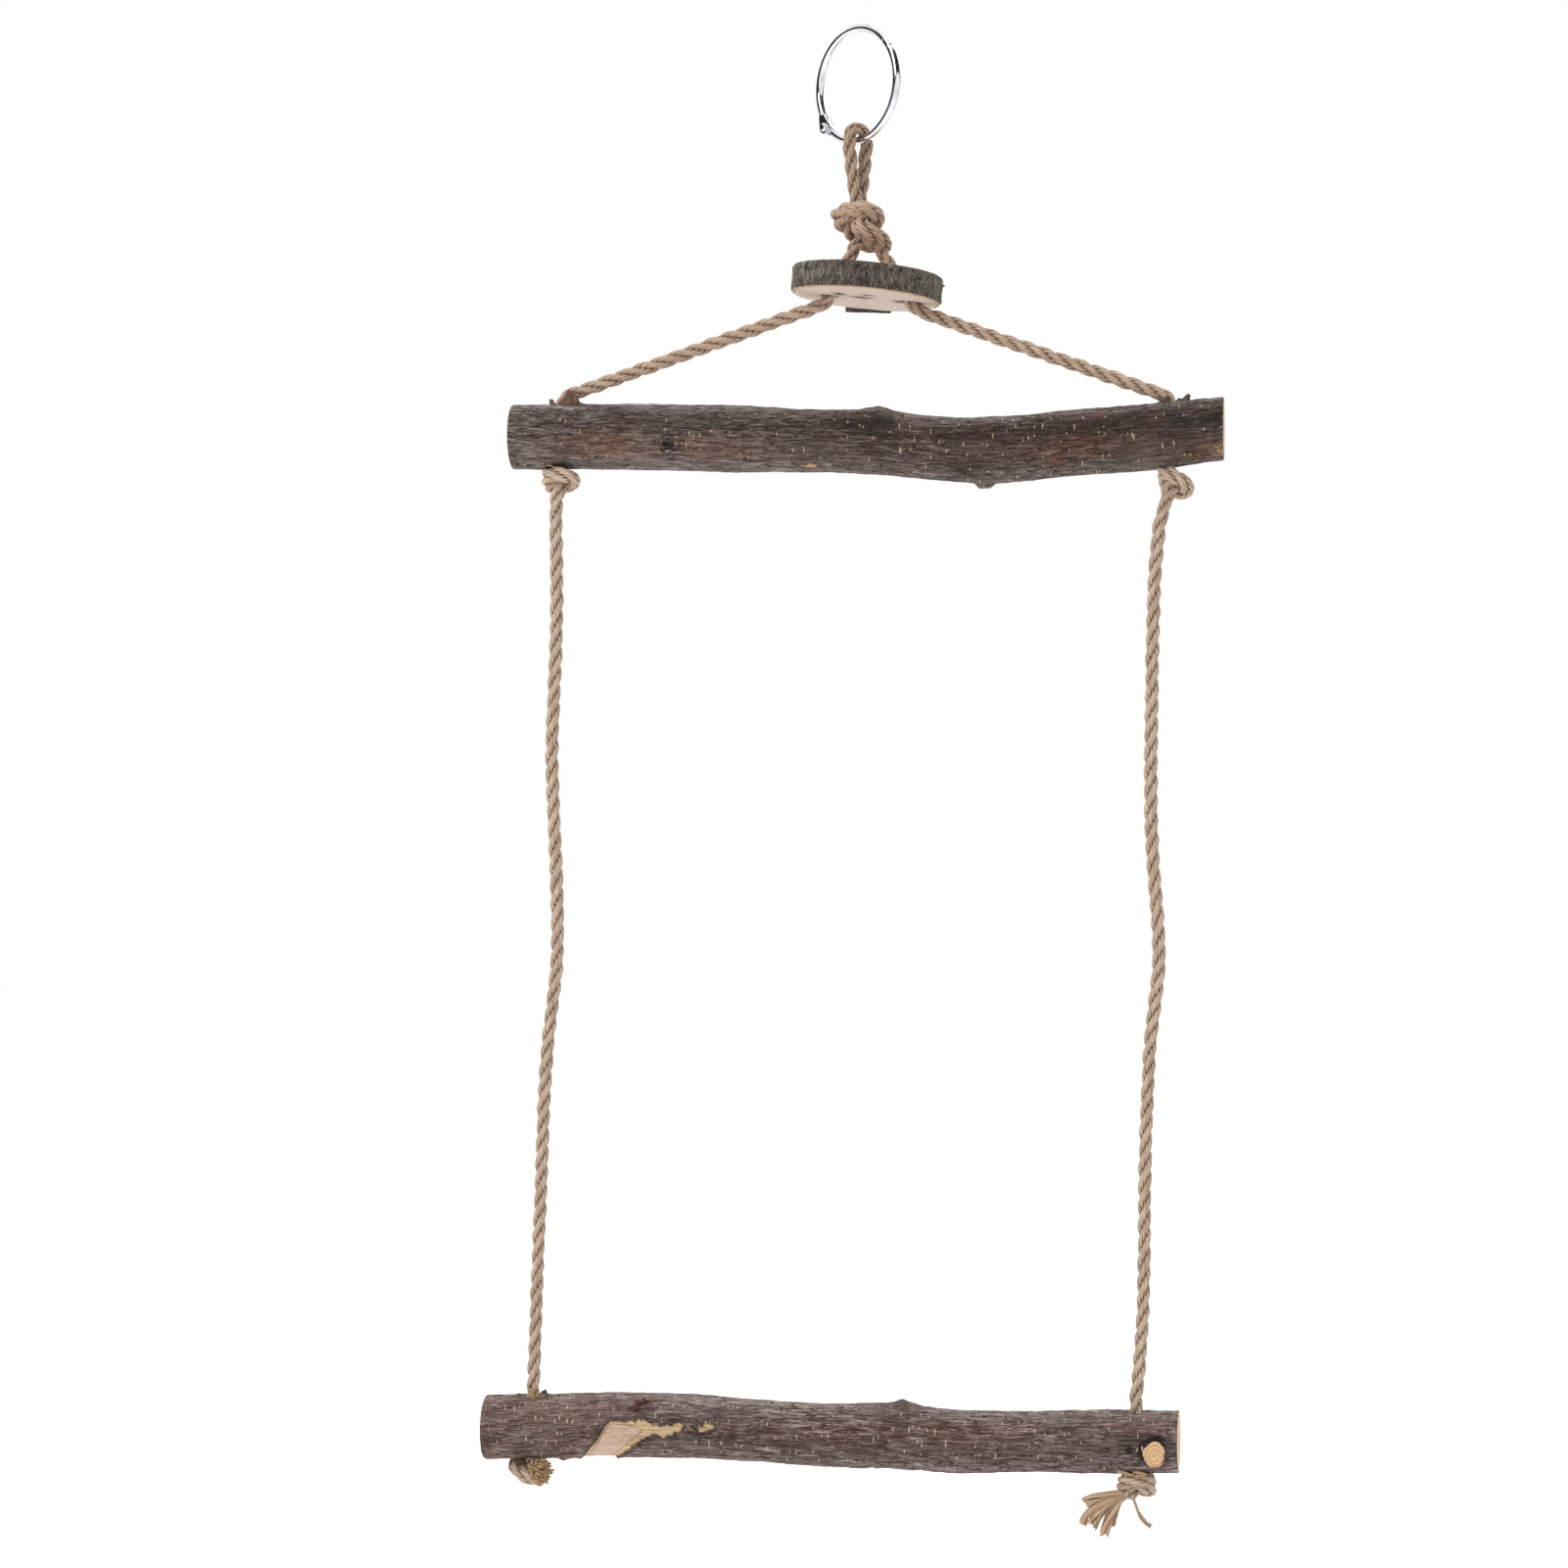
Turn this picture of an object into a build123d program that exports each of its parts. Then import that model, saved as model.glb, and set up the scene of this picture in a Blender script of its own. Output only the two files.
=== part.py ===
from build123d import *
import os
from math import cos, pi, radians, sin, tan

# A hanging bird swing: a hinged wire ring, one jute rope knotted over a slice of branch, and two branch
# perches that hang one under the other. The origin is the middle of the ring's eye, +Z is up, and the
# perches lie along X.

# Fits and cuts
CLEARANCE = 0.3
OVERRUN = 4.0
BEND_SHARE = 0.45

# Rope
ROPE_D = 5.4
HOLE_PLAY = 0.5
MOUTH_FLARE = 2.4
MOUTH_BEND_R = 6.0

# Hinged ring
RING_INNER_D = 41.0
RING_WIRE_D = 3.0
RING_YAW = -40.0
HINGE_ANGLE = 219.0
HINGE_OUTSET = 1.2
KNUCKLE_R = 2.5
TONGUE_T = 1.2
EAR_T = 0.8
EAR_GAP = 0.1
RIVET_D = 1.6
RIVET_PLAY = 0.05
RIVET_HEAD_R = 1.7
RIVET_HEAD_H = 1.0
RIVET_DOME_SHARE = 0.85
LAP_L = 4.2
LAP_GAP = 0.1
LAP_END_GAP = 0.3

# Rope loop on the ring and the knot that ends it
LOOP_STRAIGHT = 5.0
NECK_L = 24.7
NECK_TURN = 35.0
TOP_KNOT_W = 22.4
TOP_KNOT_H = 18.6
TOP_KNOT_SHIFT = 1.4
LEG_SPREAD = 11.4
LEG_SHIFT = 3.6

# Slice of branch
DISC_D = 59.0
DISC_T = 10.4
DISC_SHIFT = 3.6
DISC_GAP = 8.0
DISC_ROLL = 5.3
DISC_PITCH = 2.0
DISC_HOLE_SPAN = 32.0
DISC_HOLE_SHIFT = 1.9
DISC_EDGE_R = 1.2

# Upper perch
UPPER_L = 280.3
UPPER_D = 25.4
UPPER_LEFT_END = -137.7
UPPER_LEFT_INSET = 19.7
UPPER_RIGHT_INSET = 21.1
UPPER_DROP = 37.9

# Lower perch
LOWER_D = 24.8
LOWER_LEFT_INSET = 19.16
LOWER_RIGHT_INSET = 16.66
SWING_DROP = 339.5
SWING_LEAN = -9.1

# Knots under the perches
KNOT_STRAND_D = 4.4
LEFT_KNOT_W = 15.2
LEFT_KNOT_H = 9.0
RIGHT_KNOT_W = 13.8
RIGHT_KNOT_H = 11.0
NECK_STEP = 12.0
LEFT_EXIT_SHIFT = -2.2
RIGHT_EXIT_SHIFT = -1.5
LOWER_LEFT_KNOT_W = 19.4
LOWER_LEFT_KNOT_H = 11.0
LOWER_RIGHT_KNOT_W = 15.6
LOWER_RIGHT_KNOT_H = 8.4
YARN_D = 1.7
TAIL_REACH = 16.0
TAIL_DROP = 18.0

# Stubs and buds on the branches
BUD_D = 9.0
BUD_H = 1.6
STUB_D = 7.0
STUB_H = 2.2
CUT_STUB_D = 11.0
CUT_STUB_H = 1.6
CUT_STUB_DOWN = 24.0
STUB_TAPER = 16.0
SQUASH_SHARE = 0.98

rope_r = ROPE_D / 2
hole_r = rope_r + HOLE_PLAY
pivot_gap = rope_r + CLEARANCE


def bend_radii(route):
    """The largest radius that the two runs at each corner of a route allow."""
    points = [Vector(p) for p in route]
    radii = []
    for before, corner, after in zip(points, points[1:], points[2:]):
        turn = (corner - before).get_angle(after - corner)
        run = min((corner - before).length, (after - corner).length)
        radii.append(BEND_SHARE * run / tan(radians(turn / 2)))
    return radii


def rope_tube(route, radii, diameter):
    """One rope stretch: a round section swept along straight runs joined by tangent arcs."""
    with BuildLine() as path:
        if radii:
            FilletPolyline(*route, radius=radii)
        else:
            Line(*route)
    with BuildSketch(Plane(origin=path.line @ 0, z_dir=path.line % 0)) as section:
        Circle(diameter / 2)
    sweep(section.sketch, path=path.line)
    return sum(edge.length for edge in path.edges())


def ball_end(centre, diameter):
    """The round end of a rope stretch that turns about its own middle."""
    with Locations(Vector(centre)):
        Sphere(diameter / 2)


def report(name, part, radii, length, diameter, balls):
    """Prints a rope's bends, and its volume beside section times length."""
    section = pi * diameter**2 / 4
    plain = section * length + balls * 2 / 3 * section * diameter / 2
    bends = " ".join(f"{r:.1f}" for r in radii)
    print(f"{name}: length {length:.1f} mm, bends [{bends}], volume {part.volume:.0f} against {plain:.0f}")


def knot(top, wide, high, strand_d, wrap_shares):
    """A tight overhand knot: tilted wraps of rope round the rope's own core, flat where the rope goes on."""
    middle = Vector(top) - Vector(0, 0, high / 2)
    wrap_r = wide / 2 - strand_d / 2
    for tilt_x, tilt_y, size_share, rise_share in wrap_shares:
        at = middle + Vector(0, 0, rise_share * high)
        with Locations(Location(tuple(at), (tilt_x, tilt_y, 0))):
            Torus(wrap_r * size_share, strand_d / 2)
    with Locations(middle):
        Cylinder(wrap_r - strand_d / 4, strand_d)
        Cylinder(rope_r, high)


def branch(length, girth, start, drop_shares, bow_shares, girth_shares):
    """A crooked branch: evenly spaced round sections of changing girth, lofted along a bent middle line."""
    step = length / (len(drop_shares) - 1)
    sections = []
    for i, (drop_share, bow_share, girth_share) in enumerate(zip(drop_shares, bow_shares, girth_shares)):
        with BuildSketch(Plane.YZ.offset(start.X + i * step)) as section:
            with Locations((start.Y + bow_share * girth, start.Z - drop_share * girth)):
                Ellipse(girth_share * girth / 2 * SQUASH_SHARE, girth_share * girth / 2)
        sections.append(section.sketch)
    loft(sections)


def share_at(along_share, shares):
    """The value, at a share of the way along a branch, of a row of evenly spaced shares."""
    place = along_share * (len(shares) - 1)
    i = min(int(place), len(shares) - 2)
    return shares[i] + (shares[i + 1] - shares[i]) * (place - i)


def branch_stub(at, out, diameter, height, inset):
    """A short tapered stub that stands out of the bark along a direction."""
    base = Vector(at) - Vector(out) * inset
    with BuildSketch(Plane(origin=base, z_dir=out)) as foot:
        Circle(diameter / 2 + inset * tan(radians(STUB_TAPER)))
    extrude(foot.sketch, amount=inset + height, taper=STUB_TAPER)


os.makedirs("parts", exist_ok=True)

# Ring: the plane of its eye, its hinge and its snap
ring_r = (RING_INNER_D + RING_WIRE_D) / 2
wire_r = RING_WIRE_D / 2
ring_u = Vector(cos(radians(RING_YAW)), sin(radians(RING_YAW)), 0)
ring_n = Vector(ring_u.Y, -ring_u.X, 0)
ring_plane = Plane(origin=(0, 0, 0), x_dir=ring_u, z_dir=ring_n)
hinge_out = ring_r + HINGE_OUTSET
hinge_at = (hinge_out * cos(radians(HINGE_ANGLE)), hinge_out * sin(radians(HINGE_ANGLE)))
snap_angle = HINGE_ANGLE - 180
snap_reach = hinge_out + ring_r
degrees_per_mm = 180 / (pi * ring_r)
knuckle_angle = (KNUCKLE_R + CLEARANCE + wire_r) * degrees_per_mm
lap_angle = LAP_L / 2 * degrees_per_mm
ear_offset = TONGUE_T / 2 + EAR_GAP


def on_ring(angle):
    """A point of the wire's middle line, in the ring's plane."""
    return (ring_r * cos(radians(angle)), ring_r * sin(radians(angle)))


def ring_wire(start, size):
    """A bent length of the ring's round wire."""
    with BuildLine(ring_plane) as path:
        CenterArc((0, 0), ring_r, start, size)
    with BuildSketch(Plane(origin=path.line @ 0, z_dir=path.line % 0)) as section:
        Circle(wire_r)
    sweep(section.sketch, path=path.line)


def knuckle_plate(wire_angle, low, high):
    """A flat eye round the rivet, drawn out to the end of the wire that carries it."""
    with BuildSketch(ring_plane.offset(low)) as plate:
        with Locations(hinge_at):
            Circle(KNUCKLE_R)
        with Locations(on_ring(wire_angle)):
            Circle(wire_r)
        make_hull()
        with Locations(hinge_at):
            Circle(RIVET_D / 2 + RIVET_PLAY, mode=Mode.SUBTRACT)
    extrude(plate.sketch, amount=high - low)


def lap_cut(inner, way):
    """The half of the wire that a lap leaves out up to its tip, split along a circle about the rivet."""
    cut_l = LAP_L + LAP_END_GAP + OVERRUN
    with BuildSketch(ring_plane.offset(-RING_WIRE_D)) as half:
        with Locations(Location((*on_ring(snap_angle), 0), (0, 0, snap_angle))):
            with Locations((0, way * (cut_l / 2 - LAP_L / 2 - LAP_END_GAP))):
                Rectangle(2 * RING_WIRE_D, cut_l)
        with Locations(hinge_at):
            if inner:
                Circle(snap_reach + LAP_GAP / 2, mode=Mode.INTERSECT)
            else:
                Circle(snap_reach - LAP_GAP / 2, mode=Mode.SUBTRACT)
    extrude(half.sketch, amount=2 * RING_WIRE_D, mode=Mode.SUBTRACT)


with BuildPart() as ring_lower_half:
    ring_wire(HINGE_ANGLE + knuckle_angle, 180 - knuckle_angle + lap_angle)
    knuckle_plate(HINGE_ANGLE + knuckle_angle, -TONGUE_T / 2, TONGUE_T / 2)
    lap_cut(inner=False, way=1)
ring_lower_half.part.label = "ring_lower_half"
export_step(ring_lower_half.part, "parts/ring_lower_half.step")

with BuildPart() as ring_upper_half:
    ring_wire(HINGE_ANGLE - knuckle_angle, -(180 - knuckle_angle + lap_angle))
    knuckle_plate(HINGE_ANGLE - knuckle_angle, ear_offset, ear_offset + EAR_T)
    knuckle_plate(HINGE_ANGLE - knuckle_angle, -ear_offset - EAR_T, -ear_offset)
    lap_cut(inner=True, way=-1)
ring_upper_half.part.label = "ring_upper_half"
export_step(ring_upper_half.part, "parts/ring_upper_half.step")

# Rivet: a pin through the knuckle with a domed head on each side
rivet_half = ear_offset + EAR_T + EAR_GAP
hinge_point = ring_plane.from_local_coords((*hinge_at, 0))
with BuildPart() as ring_rivet:
    for way in (1, -1):
        pin_end = hinge_point + ring_n * (way * rivet_half)
        with BuildSketch(Plane(origin=hinge_point, z_dir=ring_n * way)):
            Circle(RIVET_D / 2)
        extrude(amount=rivet_half)
        with BuildSketch(Plane(origin=pin_end, z_dir=ring_n * way)):
            Circle(RIVET_HEAD_R)
        extrude(amount=RIVET_HEAD_H)
    rims = ring_rivet.edges().filter_by(GeomType.CIRCLE).sort_by(Axis(hinge_point, ring_n))
    fillet([rims[0], rims[-1]], RIVET_HEAD_H * RIVET_DOME_SHARE)
ring_rivet.part.label = "ring_rivet"
export_step(ring_rivet.part, "parts/ring_rivet.step")

# Rope loop: over the wire's lowest point and down both sides, turning a little as it goes
wire_low = Vector(0, 0, -ring_r)
bight_r = wire_r + CLEARANCE + rope_r
neck_end_z = wire_low.Z - NECK_L
strand_half = rope_r + CLEARANCE / 2
neck_n = ring_n.rotate(Axis.Z, NECK_TURN)
bight_top = wire_low + Vector(0, 0, bight_r)
straight_low = wire_low - Vector(0, 0, LOOP_STRAIGHT)
loop_route = [
    Vector(0, 0, neck_end_z) + neck_n * strand_half,
    straight_low + ring_n * bight_r,
    bight_top + ring_n * bight_r,
    bight_top - ring_n * bight_r,
    straight_low - ring_n * bight_r,
    Vector(0, 0, neck_end_z) - neck_n * strand_half,
]
loop_radii = bend_radii(loop_route)
with BuildPart() as hanging_loop:
    loop_length = rope_tube(loop_route, loop_radii, ROPE_D)
    split(bisect_by=Plane.XY.offset(neck_end_z), keep=Keep.TOP)
report("hanging_loop", hanging_loop.part, loop_radii, loop_length, ROPE_D, 0)
hanging_loop.part.label = "hanging_loop"
export_step(hanging_loop.part, "parts/hanging_loop.step")

# Knot in the doubled rope
knot_top_z = neck_end_z - CLEARANCE
knot_low_z = knot_top_z - TOP_KNOT_H
knot_middle_z = (knot_top_z + knot_low_z) / 2
TOP_WRAP_SHARES = ((18, 12, 0.93, 0.17), (-16, -14, 1.0, -0.04), (10, 20, 0.88, -0.19))
with BuildPart() as top_knot:
    for tilt_x, tilt_y, size_share, rise_share in TOP_WRAP_SHARES:
        wrap_at = (TOP_KNOT_SHIFT, 0, knot_middle_z + rise_share * TOP_KNOT_H)
        with Locations(Location(wrap_at, (tilt_x, tilt_y, 0))):
            Torus(size_share * (TOP_KNOT_W / 2 - rope_r), rope_r)
    with BuildSketch(Plane(origin=(0, 0, knot_low_z), x_dir=neck_n, z_dir=(0, 0, 1))):
        SlotOverall(2 * (strand_half + rope_r), ROPE_D)
    extrude(amount=TOP_KNOT_H)
    with BuildSketch(Plane.XY.offset(knot_low_z)):
        with Locations((LEG_SHIFT, 0)):
            SlotOverall(LEG_SPREAD + ROPE_D, ROPE_D)
    extrude(amount=TOP_KNOT_H / 2)
top_knot.part.label = "top_knot"
export_step(top_knot.part, "parts/top_knot.step")

# Slice of branch under the knot, tipped a little, with a slanted hole for each leg
disc_middle = Vector(DISC_SHIFT, 0, knot_low_z - DISC_GAP - DISC_T / 2)
disc_plane = Plane(origin=disc_middle, z_dir=(0, 0, 1)).rotated((-DISC_PITCH, DISC_ROLL, 0))
disc_down = disc_plane.z_dir * -1
leg_tops = {
    "left": Vector(LEG_SHIFT - LEG_SPREAD / 2, 0, knot_low_z),
    "right": Vector(LEG_SHIFT + LEG_SPREAD / 2, 0, knot_low_z),
}
leg_exits = {
    "left": disc_plane.from_local_coords((DISC_HOLE_SHIFT - DISC_HOLE_SPAN / 2, 0, -DISC_T / 2)),
    "right": disc_plane.from_local_coords((DISC_HOLE_SHIFT + DISC_HOLE_SPAN / 2, 0, -DISC_T / 2)),
}
leg_ways = {side: (leg_exits[side] - leg_tops[side]).normalized() for side in leg_tops}
pivots = {
    side: leg_exits[side] + leg_ways[side] * (pivot_gap / leg_ways[side].dot(disc_down))
    for side in leg_tops
}

RIM_SHARES = (1.0, 0.985, 1.01, 0.99, 1.005, 0.98, 1.0, 1.012, 0.99, 1.008, 0.985, 1.004)
with BuildPart() as wood_disc:
    with BuildSketch(disc_plane.offset(-DISC_T / 2)):
        with BuildLine():
            rim_points = [
                (
                    rim_share * DISC_D / 2 * cos(radians(360 * i / len(RIM_SHARES))),
                    rim_share * DISC_D / 2 * sin(radians(360 * i / len(RIM_SHARES))),
                )
                for i, rim_share in enumerate(RIM_SHARES)
            ]
            Spline(*rim_points, periodic=True)
        make_face()
    extrude(amount=DISC_T)
    chamfer(wood_disc.edges().filter_by(GeomType.BSPLINE), DISC_EDGE_R)
    for side in leg_tops:
        with BuildSketch(Plane(origin=leg_tops[side], z_dir=leg_ways[side])):
            Circle(hole_r)
        extrude(amount=(leg_exits[side] - leg_tops[side]).length + OVERRUN, mode=Mode.SUBTRACT)
wood_disc.part.label = "wood_disc"
export_step(wood_disc.part, "parts/wood_disc.step")


def rope_leg(side):
    """One leg of the rope, from the knot down through the slice of branch."""
    leg_end = pivots[side] - leg_ways[side] * pivot_gap
    return rope_tube([leg_tops[side], leg_end], [], ROPE_D)


with BuildPart() as left_leg:
    rope_leg("left")
    split(bisect_by=Plane(origin=leg_tops["left"], z_dir=(0, 0, 1)), keep=Keep.BOTTOM)
left_leg.part.label = "left_leg"
export_step(left_leg.part, "parts/left_leg.step")

with BuildPart() as right_leg:
    rope_leg("right")
    split(bisect_by=Plane(origin=leg_tops["right"], z_dir=(0, 0, 1)), keep=Keep.BOTTOM)
right_leg.part.label = "right_leg"
export_step(right_leg.part, "parts/right_leg.step")

# Upper perch: a branch with a dip in it, hung where the two diagonals come down
UPPER_DROP_SHARES = (0.0, 0.012, 0.031, 0.071, 0.11, 0.146, 0.25, 0.275, 0.197, 0.13, 0.016)
UPPER_BOW_SHARES = (0.0, 0.01, 0.02, 0.03, 0.05, 0.06, 0.05, 0.02, -0.01, -0.02, 0.01)
UPPER_GIRTH_SHARES = (1.005, 1.015, 1.02, 1.015, 0.98, 0.99, 0.97, 1.0, 1.004, 0.99, 0.94)
upper_start = Vector(UPPER_LEFT_END, 0, pivots["left"].Z - UPPER_DROP - UPPER_D / 2)


def upper_middle(x):
    """Height of the upper perch's middle line at a place along X."""
    return upper_start.Z - UPPER_D * share_at((x - UPPER_LEFT_END) / UPPER_L, UPPER_DROP_SHARES)


def upper_half(x):
    """Half the height of the upper perch at a place along X."""
    return UPPER_D / 2 * share_at((x - UPPER_LEFT_END) / UPPER_L, UPPER_GIRTH_SHARES)


upper_holes = {
    "left": UPPER_LEFT_END + UPPER_LEFT_INSET,
    "right": UPPER_LEFT_END + UPPER_L - UPPER_RIGHT_INSET,
}
upper_tops = {side: upper_middle(x) + upper_half(x) for side, x in upper_holes.items()}
upper_lows = {side: upper_middle(x) - upper_half(x) for side, x in upper_holes.items()}
UPPER_BUD_SHARE = 0.522
UPPER_STUB_SHARE = 0.67
with BuildPart() as upper_perch:
    branch(UPPER_L, UPPER_D, upper_start, UPPER_DROP_SHARES, UPPER_BOW_SHARES, UPPER_GIRTH_SHARES)
    bud_x = UPPER_LEFT_END + UPPER_BUD_SHARE * UPPER_L
    stub_x = UPPER_LEFT_END + UPPER_STUB_SHARE * UPPER_L
    bud_z = upper_middle(bud_x) + upper_half(bud_x)
    stub_z = upper_middle(stub_x) - upper_half(stub_x)
    branch_stub((bud_x, 0, bud_z), (0, 0, 1), BUD_D, BUD_H, UPPER_D / 4)
    branch_stub((stub_x, 0, stub_z), (0, 0, -1), STUB_D, STUB_H, UPPER_D / 4)
    for side, x in upper_holes.items():
        with Locations((x, 0, upper_tops[side])):
            CounterSinkHole(hole_r, hole_r + MOUTH_FLARE)
upper_perch.part.label = "upper_perch"
export_step(upper_perch.part, "parts/upper_perch.step")


def diagonal_route(side):
    """From the slice of branch straight down to the perch's hole, then through it to the knot below."""
    mouth = Vector(upper_holes[side], 0, upper_tops[side] + MOUTH_FLARE)
    return [pivots[side], mouth, Vector(upper_holes[side], 0, upper_lows[side] - CLEARANCE)]


with BuildPart() as left_diagonal:
    left_diagonal_length = rope_tube(diagonal_route("left"), [MOUTH_BEND_R], ROPE_D)
    ball_end(pivots["left"], ROPE_D)
report("left_diagonal", left_diagonal.part, [MOUTH_BEND_R], left_diagonal_length, ROPE_D, 1)
left_diagonal.part.label = "left_diagonal"
export_step(left_diagonal.part, "parts/left_diagonal.step")

with BuildPart() as right_diagonal:
    right_diagonal_length = rope_tube(diagonal_route("right"), [MOUTH_BEND_R], ROPE_D)
    ball_end(pivots["right"], ROPE_D)
report("right_diagonal", right_diagonal.part, [MOUTH_BEND_R], right_diagonal_length, ROPE_D, 1)
right_diagonal.part.label = "right_diagonal"
export_step(right_diagonal.part, "parts/right_diagonal.step")

# Knots under the upper perch
knot_tops = {side: Vector(x, 0, upper_lows[side] - CLEARANCE) for side, x in upper_holes.items()}
with BuildPart() as left_upper_knot:
    wrap_shares = ((6, 14, 1.0, 0.02), (-12, -10, 0.9, -0.06))
    knot(knot_tops["left"], LEFT_KNOT_W, LEFT_KNOT_H, KNOT_STRAND_D, wrap_shares)
left_upper_knot.part.label = "left_upper_knot"
export_step(left_upper_knot.part, "parts/left_upper_knot.step")

with BuildPart() as right_upper_knot:
    wrap_shares = ((10, -26, 1.0, 0.0), (-14, 18, 0.95, -0.02))
    knot(knot_tops["right"], RIGHT_KNOT_W, RIGHT_KNOT_H, KNOT_STRAND_D, wrap_shares)
right_upper_knot.part.label = "right_upper_knot"
export_step(right_upper_knot.part, "parts/right_upper_knot.step")

# Rope just under those knots, where it bends as the swing goes to and fro
neck_tops = {
    "left": knot_tops["left"] + Vector(LEFT_EXIT_SHIFT, 0, -LEFT_KNOT_H - pivot_gap),
    "right": knot_tops["right"] + Vector(RIGHT_EXIT_SHIFT, 0, -RIGHT_KNOT_H - pivot_gap),
}
sway_z = neck_tops["left"].Z - NECK_STEP
NECK_LEAN_SHARES = {"left": -0.02, "right": -0.28}
sway_pivots = {
    side: Vector(at.X + NECK_LEAN_SHARES[side] * (at.Z - sway_z), 0, sway_z)
    for side, at in neck_tops.items()
}


def rope_neck(side):
    """A short stretch of rope with a round upper end, cut square above the next bend."""
    way = (sway_pivots[side] - neck_tops[side]).normalized()
    rope_tube([neck_tops[side], sway_pivots[side] - way * pivot_gap], [], ROPE_D)
    ball_end(neck_tops[side], ROPE_D)


with BuildPart() as left_rope_neck:
    rope_neck("left")
left_rope_neck.part.label = "left_rope_neck"
export_step(left_rope_neck.part, "parts/left_rope_neck.step")

with BuildPart() as right_rope_neck:
    rope_neck("right")
right_rope_neck.part.label = "right_rope_neck"
export_step(right_rope_neck.part, "parts/right_rope_neck.step")

# Side ropes: two equal drops, each with the slow waves that a stiff rope keeps
drop = Vector(SWING_LEAN, 0, -SWING_DROP)
LEFT_WAVE = (
    (0.071, 1.2),
    (0.162, 1.3),
    (0.253, 0.4),
    (0.329, 2.1),
    (0.409, 4.1),
    (0.482, 5.3),
    (0.535, 4.4),
    (0.588, 2.2),
    (0.668, 1.2),
    (0.766, 1.0),
    (0.884, 0.3),
)
RIGHT_WAVE = (
    (0.044, -1.4),
    (0.116, -1.6),
    (0.192, -1.2),
    (0.280, -0.9),
    (0.357, 0.1),
    (0.422, 2.2),
    (0.480, 4.5),
    (0.525, 4.0),
    (0.584, 1.7),
    (0.658, 1.1),
    (0.743, 1.0),
    (0.834, 1.7),
    (0.921, 1.9),
)


def side_route(side, wave):
    """The route of a side rope: places down the drop, and how far each stands off it to the right."""
    top = sway_pivots[side]
    between = [top + drop * down_share + Vector(off, 0, 0) for down_share, off in wave]
    return [top, *between, top + drop]


left_route = side_route("left", LEFT_WAVE)
left_radii = bend_radii(left_route)
with BuildPart() as left_side_rope:
    left_side_length = rope_tube(left_route, left_radii, ROPE_D)
    ball_end(left_route[0], ROPE_D)
    ball_end(left_route[-1], ROPE_D)
report("left_side_rope", left_side_rope.part, left_radii, left_side_length, ROPE_D, 2)
left_side_rope.part.label = "left_side_rope"
export_step(left_side_rope.part, "parts/left_side_rope.step")

right_route = side_route("right", RIGHT_WAVE)
right_radii = bend_radii(right_route)
with BuildPart() as right_side_rope:
    right_side_length = rope_tube(right_route, right_radii, ROPE_D)
    ball_end(right_route[0], ROPE_D)
    ball_end(right_route[-1], ROPE_D)
report("right_side_rope", right_side_rope.part, right_radii, right_side_length, ROPE_D, 2)
right_side_rope.part.label = "right_side_rope"
export_step(right_side_rope.part, "parts/right_side_rope.step")

# Lower perch: its holes lie under the two side ropes
LOWER_DROP_SHARES = (0.093, 0.06, 0.012, 0.0, 0.04, 0.077, 0.085, 0.137, 0.117, 0.097, 0.065)
LOWER_BOW_SHARES = (0.0, 0.01, 0.02, 0.0, -0.03, -0.05, -0.04, 0.0, 0.03, 0.03, 0.0)
LOWER_GIRTH_SHARES = (1.004, 1.02, 1.04, 1.016, 0.98, 0.976, 1.004, 0.984, 0.968, 0.976, 0.964)
lower_ropes = {"left": left_route[-1], "right": right_route[-1]}
lower_left_end = lower_ropes["left"].X - LOWER_LEFT_INSET
lower_l = lower_ropes["right"].X + LOWER_RIGHT_INSET - lower_left_end


def lower_drop(x):
    """How far the lower perch's middle line has dropped at a place along X."""
    return LOWER_D * share_at((x - lower_left_end) / lower_l, LOWER_DROP_SHARES)


def lower_half(x):
    """Half the height of the lower perch at a place along X."""
    return LOWER_D / 2 * share_at((x - lower_left_end) / lower_l, LOWER_GIRTH_SHARES)


lower_left_x = lower_ropes["left"].X
lower_high_z = lower_ropes["left"].Z - pivot_gap - lower_half(lower_left_x) + lower_drop(lower_left_x)
lower_start = Vector(lower_left_end, 0, lower_high_z)
lower_tops = {side: lower_high_z - lower_drop(at.X) + lower_half(at.X) for side, at in lower_ropes.items()}
lower_lows = {side: lower_high_z - lower_drop(at.X) - lower_half(at.X) for side, at in lower_ropes.items()}
LOWER_BUD_SHARE = 0.605
LOWER_CUT_SHARE = 0.966
with BuildPart() as lower_perch:
    branch(lower_l, LOWER_D, lower_start, LOWER_DROP_SHARES, LOWER_BOW_SHARES, LOWER_GIRTH_SHARES)
    bud_x = lower_left_end + LOWER_BUD_SHARE * lower_l
    bud_z = lower_high_z - lower_drop(bud_x) + lower_half(bud_x)
    branch_stub((bud_x, 0, bud_z), (0, 0, 1), BUD_D, BUD_H, LOWER_D / 4)
    cut_x = lower_left_end + LOWER_CUT_SHARE * lower_l
    cut_way = Vector(0, -cos(radians(CUT_STUB_DOWN)), -sin(radians(CUT_STUB_DOWN)))
    cut_at = Vector(cut_x, 0, lower_high_z - lower_drop(cut_x)) + cut_way * lower_half(cut_x)
    branch_stub(cut_at, cut_way, CUT_STUB_D, CUT_STUB_H, LOWER_D / 4)
    for side, at in lower_ropes.items():
        with Locations((at.X, 0, lower_tops[side])):
            CounterSinkHole(hole_r, hole_r + HOLE_PLAY)
lower_perch.part.label = "lower_perch"
export_step(lower_perch.part, "parts/lower_perch.step")

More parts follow.
